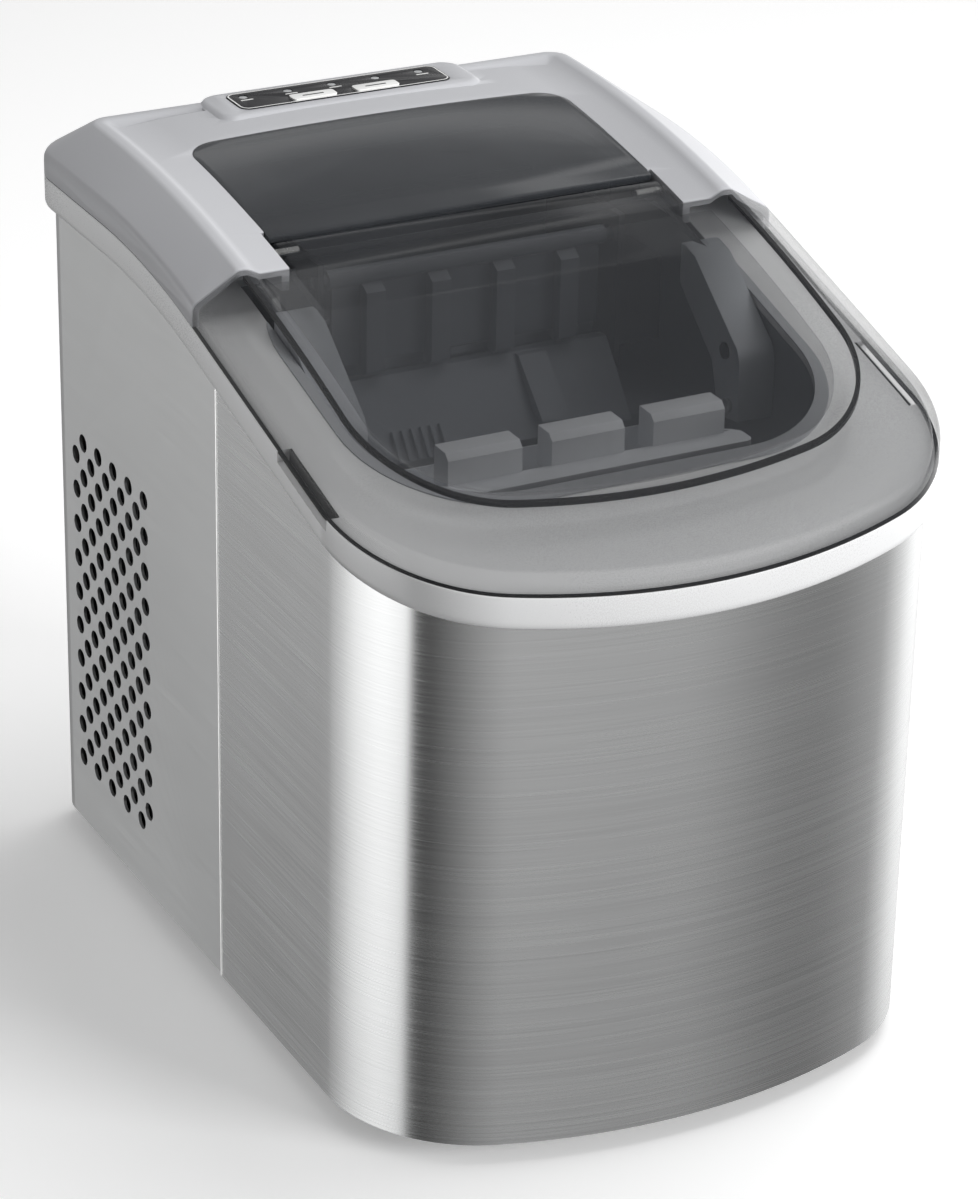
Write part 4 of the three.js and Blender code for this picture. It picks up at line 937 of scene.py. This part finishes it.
def control_fascia():
    low, high = fascia_low, fascia_high
    piece = prism(rounded_rectangle(low.x, high.x, low.y, high.y, FASCIA_CORNER, 12), low.z, high.z)
    cut(piece, *[rod("Z", LENS_RADIUS + GAP, 300, OVER_ALL, x, LENS_Y, 28) for x in LENS_PLACES])
    for node in BUTTONS:
        a, b = corners(node)
        cut(piece, prism(rounded_rectangle(a.x - GAP, b.x + GAP, a.y - GAP, b.y + GAP, 1.8), 300, OVER_ALL))
    piece.name = "fascia_film_plate"
    finish(eased(piece, 0.25), BLACK_FILM, "fascia_black", "casing", "control_fascia")
    margin, line = 0.35, 0.55
    ring = prism(rounded_rectangle(low.x + margin, high.x - margin, low.y + margin, high.y - margin,
                                   FASCIA_CORNER - margin, 12), high.z - 0.2, high.z + 0.04)
    inner = margin + line
    cut(ring, prism(rounded_rectangle(low.x + inner, high.x - inner, low.y + inner, high.y - inner,
                                      FASCIA_CORNER - inner, 12), 300, OVER_ALL))
    ring.name = "fascia_border"
    finish(smoothed(ring), WHITE, "button_white", "casing")


def fascia_marks():
    """Plain bars where the legends would be: one on each button, and one under each lamp clear of them."""
    top = fascia_high.z
    a, b = corners("on_off_button")
    for i, x in enumerate(LENS_PLACES):
        if abs(x - (a.x + b.x) / 2) < 8:
            continue
        mark = block(x - 2.6, x + 2.6, LENS_Y - 4.2, LENS_Y - 3.4, top - 0.2, top + 0.03)
        mark.name = f"fascia_mark_{i + 1}"
        finish(mark, WHITE, "button_white", "casing")
    for node in BUTTONS:
        a, b = corners(node)
        x, y = (a.x + b.x) / 2, (a.y + b.y) / 2
        mark = block(x - 4.5, x + 4.5, y - 0.5, y + 0.5, b.z - 0.3, b.z + 0.02)
        mark.name = node + "_mark"
        finish(mark, DARK, "dark_plastic", node)


def buttons():
    for node in BUTTONS:
        a, b = corners(node)
        cap = prism(rounded_rectangle(a.x, b.x, a.y, b.y, 1.5, 8), a.z + 1.2, b.z)
        x, y = (a.x + b.x) / 2, (a.y + b.y) / 2
        add(cap, block(x - 2, x + 2, y - 2, y + 2, a.z, a.z + 2))
        cap.name = node + "_cap"
        finish(eased(cap, 0.45, 3), WHITE, "button_white", node, node)


def light_guide():
    low, high = guide_low, guide_high
    bar = block(low.x, high.x, low.y, high.y, low.z, low.z + 2.8)
    add(bar, *[rod("Z", LENS_RADIUS, low.z + 1.4, high.z, x, LENS_Y, 28) for x in LENS_PLACES])
    bar.name = "light_guide_bar"
    finish(eased(bar, 0.3), LENS, "lamp_lens", "casing", "light_guide")


# ------------------------------------------------------------------ ice chamber

def tub_block(offset, drop):
    """The liner's outside, grown by offset and with its floors dropped: a deep tub and a shelf behind it."""
    half, corner = TUB_HALF, TUB_CORNER
    plan = arc(half - corner, TUB_FRONT + corner, corner + offset, -90, 0, 16)
    plan += [(half + offset, TUB_STEP + offset), (-half - offset, TUB_STEP + offset)]
    plan += arc(corner - half, TUB_FRONT + corner, corner + offset, 180, 270, 16)
    deep = prism(plan, TUB_FLOOR - drop, 300)
    shallow = block(-half - offset, half + offset, 0, TUB_BACK + offset, TUB_SHELF - drop, 300)
    return add(deep, shallow)


def inner_liner():
    piece = keep(tub_block(0, 0), below(lambda y: lip_top(y) - 3 - GAP, -180, 180, 20))
    cut(piece, tub_block(-TUB_WALL, -TUB_WALL))
    ledges = [strip(side, 60, TUB_HALF - 1, -82, TUB_STEP - 1, 112, 116) for side in SIDES.values()]
    add(piece, *ledges)
    hose_hole, tube_hole, drain_out = 4.2, 4.6, 6.2
    cut(piece, rod("X", hose_hole, -100, -90, 62, 268, 20), rod("Y", tube_hole, 5, 20, 48, -60, 20))
    cut(piece, *[rod("Y", hose_hole, 80, 95, 262, x, 20) for x in (-69, 69)])
    add(piece, rod("Z", drain_out, 14.5, TUB_FLOOR + 1, -48, -84, 24))
    cut(piece, rod("Z", hose_hole, 10, 50, -48, -84, 24))
    piece.name = "liner_moulding"
    finish(eased(piece, 0.8, 3), LINER, "grey_plastic", "casing", "inner_liner")


def ice_chute():
    """The sloped slide in front of the tray, with its tab and a comb of thin ribs."""
    low, high = corners("ice_chute")
    floor = low.z
    slide = prism([(5, floor), (8, floor), (29, 231), (29, floor), (32, floor), (32, 234), (27, 234)],
                  low.x, high.x, "X")
    add(slide, prism([(3, 214), (11, 214.5), (28, 233.6), (24, 233.6)], 20, 32, "X"))
    comb_start, comb_pitch, comb_count = -40, 4, 6
    for i in range(comb_count):
        x = comb_start + comb_pitch * i
        add(slide, prism([(3.6, 208.5), (5.4, 207.5), (13, 216.6), (11.2, 217.9)], x, x + 1.4, "X"))
    slide.name = "chute_moulding"
    finish(eased(slide, 0.5, 3), GREY, "grey_plastic", "casing", "ice_chute")


def sensor_housings():
    """The bent arms at the chamber's sides, each with a round eye and a screw on its inner face."""
    eye, screw = dict(radius=3.5, a=-33, b=247), dict(radius=1.8, a=-38, b=227)
    for name, side in SIDES.items():
        low, high = corners(name + "_sensor_housing")
        face = min(abs(low.x), abs(high.x))
        piece = prism([(2, 262), (2, 278), (-6, 278), (-41.6, 250.8), (-44, 246), (-44, 222), (-30, 220),
                       (-24, 240)], low.x, high.x, "X")
        keep(piece, below(lambda y: skirt_top(y) - 1, -100, 60, UNDER_ALL))
        cut(piece, side_rod(side, face - 1, face + 2, **eye), side_rod(side, face - 1, face + 5, **screw))
        piece.name = name + "_sensor_moulding"
        finish(eased(piece, 1.6, 4), HOUSING_PAINTED_LIGHT, "grey_plastic", "casing", name + "_sensor_housing")


def ice_shovel():
    """A blade with four ribs that hangs from a bar."""
    low, high = corners("ice_shovel")
    y, z, bottom, half, rib_pitch = 30, 275, low.z, 56.5, 27.3
    piece = rod("X", 3.6, -half - 2, half + 2, y, z, 28)
    add(piece, rod("X", 2, low.x, high.x, y, z, 20), block(-half, half, y - 1, y + 0.8, bottom + 4, z))
    for i in range(4):
        x = rib_pitch * (i - 1.5)
        rib = prism([(y - 7, bottom + 2), (y - 5, bottom), (y, bottom), (y, z - 1), (y - 7, z - 5)],
                    x - 4, x + 4, "X")
        add(piece, rib)
    piece.name = "shovel_moulding"
    finish(eased(piece, 0.7, 3), SHOVEL_GREY, "grey_plastic", "ice_shovel", "ice_shovel")


def ice_basket():
    """A tub with a sloping rim, a flange and three raised blocks in front, and slots in its floor."""
    low, high = corners("ice_basket")
    half, front, back, bottom, rim, rear_rim, wall = high.x, -68, high.y, low.z, 231, 206, 2

    def rim_at(y):
        return rear_rim + (rim - rear_rim) * (back - y) / (back - front)
    piece = prism(rounded_rectangle(-half, half, front, back, 6), bottom, 260)
    cut(piece, prism(rounded_rectangle(-half + wall, half - wall, front + wall, back - wall, 4),
                     bottom + wall, 270))
    keep(piece, below(rim_at, front - 1, back + 1, 100, steps=2))
    add(piece, prism(rounded_rectangle(-half, half, low.y, front + 1, 3), rim - 2.5, rim))
    for i in range(3):
        x = 42 * (i - 1)
        raised = prism([(front, rim - 3), (front + 11, rim - 3), (front + 11, rim + 12),
                        (front + 2.5, rim + 12), (front, rim + 9.5)], x - 15, x + 15, "X")
        add(piece, raised)
    for i in range(6):
        x = (i - 2.5) * 18
        cut(piece, block(x - 3, x + 3, front + 12, back - 12, bottom - 1, bottom + 4))
    piece.name = "basket_moulding"
    finish(eased(piece, 0.6, 3), BASKET_PAINTED_LIGHT, "grey_plastic", "ice_basket", "ice_basket")


# ------------------------------------------------------------------ CAD nodes that keep their shape

CARRIED = {
    DARK: ["base_tray", "mechanism_frame", "tray_motor", "terminal_cover", "fan_shroud", "fan_blade",
           "pump_housing", "power_inlet", "level_sensor", "left_sensor_eye", "right_sensor_eye"],
    PLATED: ["left_hinge_pin", "right_hinge_pin", "left_sensor_screw", "right_sensor_screw", "evaporator",
             "hot_gas_valve", *[f"foot_screw_{i}" for i in (1, 2, 3, 4)]],
    RUBBER: ["drain_cap", *[f"compressor_grommet_{i}" for i in (1, 2, 3)],
             *[f"foot_{i}" for i in (1, 2, 3, 4)]],
    COPPER: ["filter_drier", "discharge_line", "liquid_line", "suction_line", "hot_gas_line",
             "capillary_tube"],
    BOARD: ["display_board", "main_board"],
    ENAMEL: ["compressor", "fan_motor"],
    GREY: ["water_tray"],
    WHITE: ["pump_impeller"],
    FOAM: ["foam_jacket"],
    FINS: ["condenser"],
    HOSE: ["water_hose"],
}


def carry_over():
    """Gives each CAD node that is shown as it is a material of its own."""
    for material, nodes in CARRIED.items():
        for piece in [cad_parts[node] for node in nodes]:
            if not piece.material_slots:
                piece.data.materials.append(material)
            for slot in piece.material_slots:
                slot.material = material


front_wrap()
seam_beads()
rear_cover()
top_frame()
chamber_rim()
lid_seal_and_notch_shade()
rear_bezel()
upper_window()
lid()
lid_crest_shade_line()
lid_shade_sheet()
bpy.data.objects.remove(shell)
control_fascia()
fascia_marks()
buttons()
light_guide()
inner_liner()
ice_chute()
sensor_housings()
ice_shovel()
ice_basket()
carry_over()
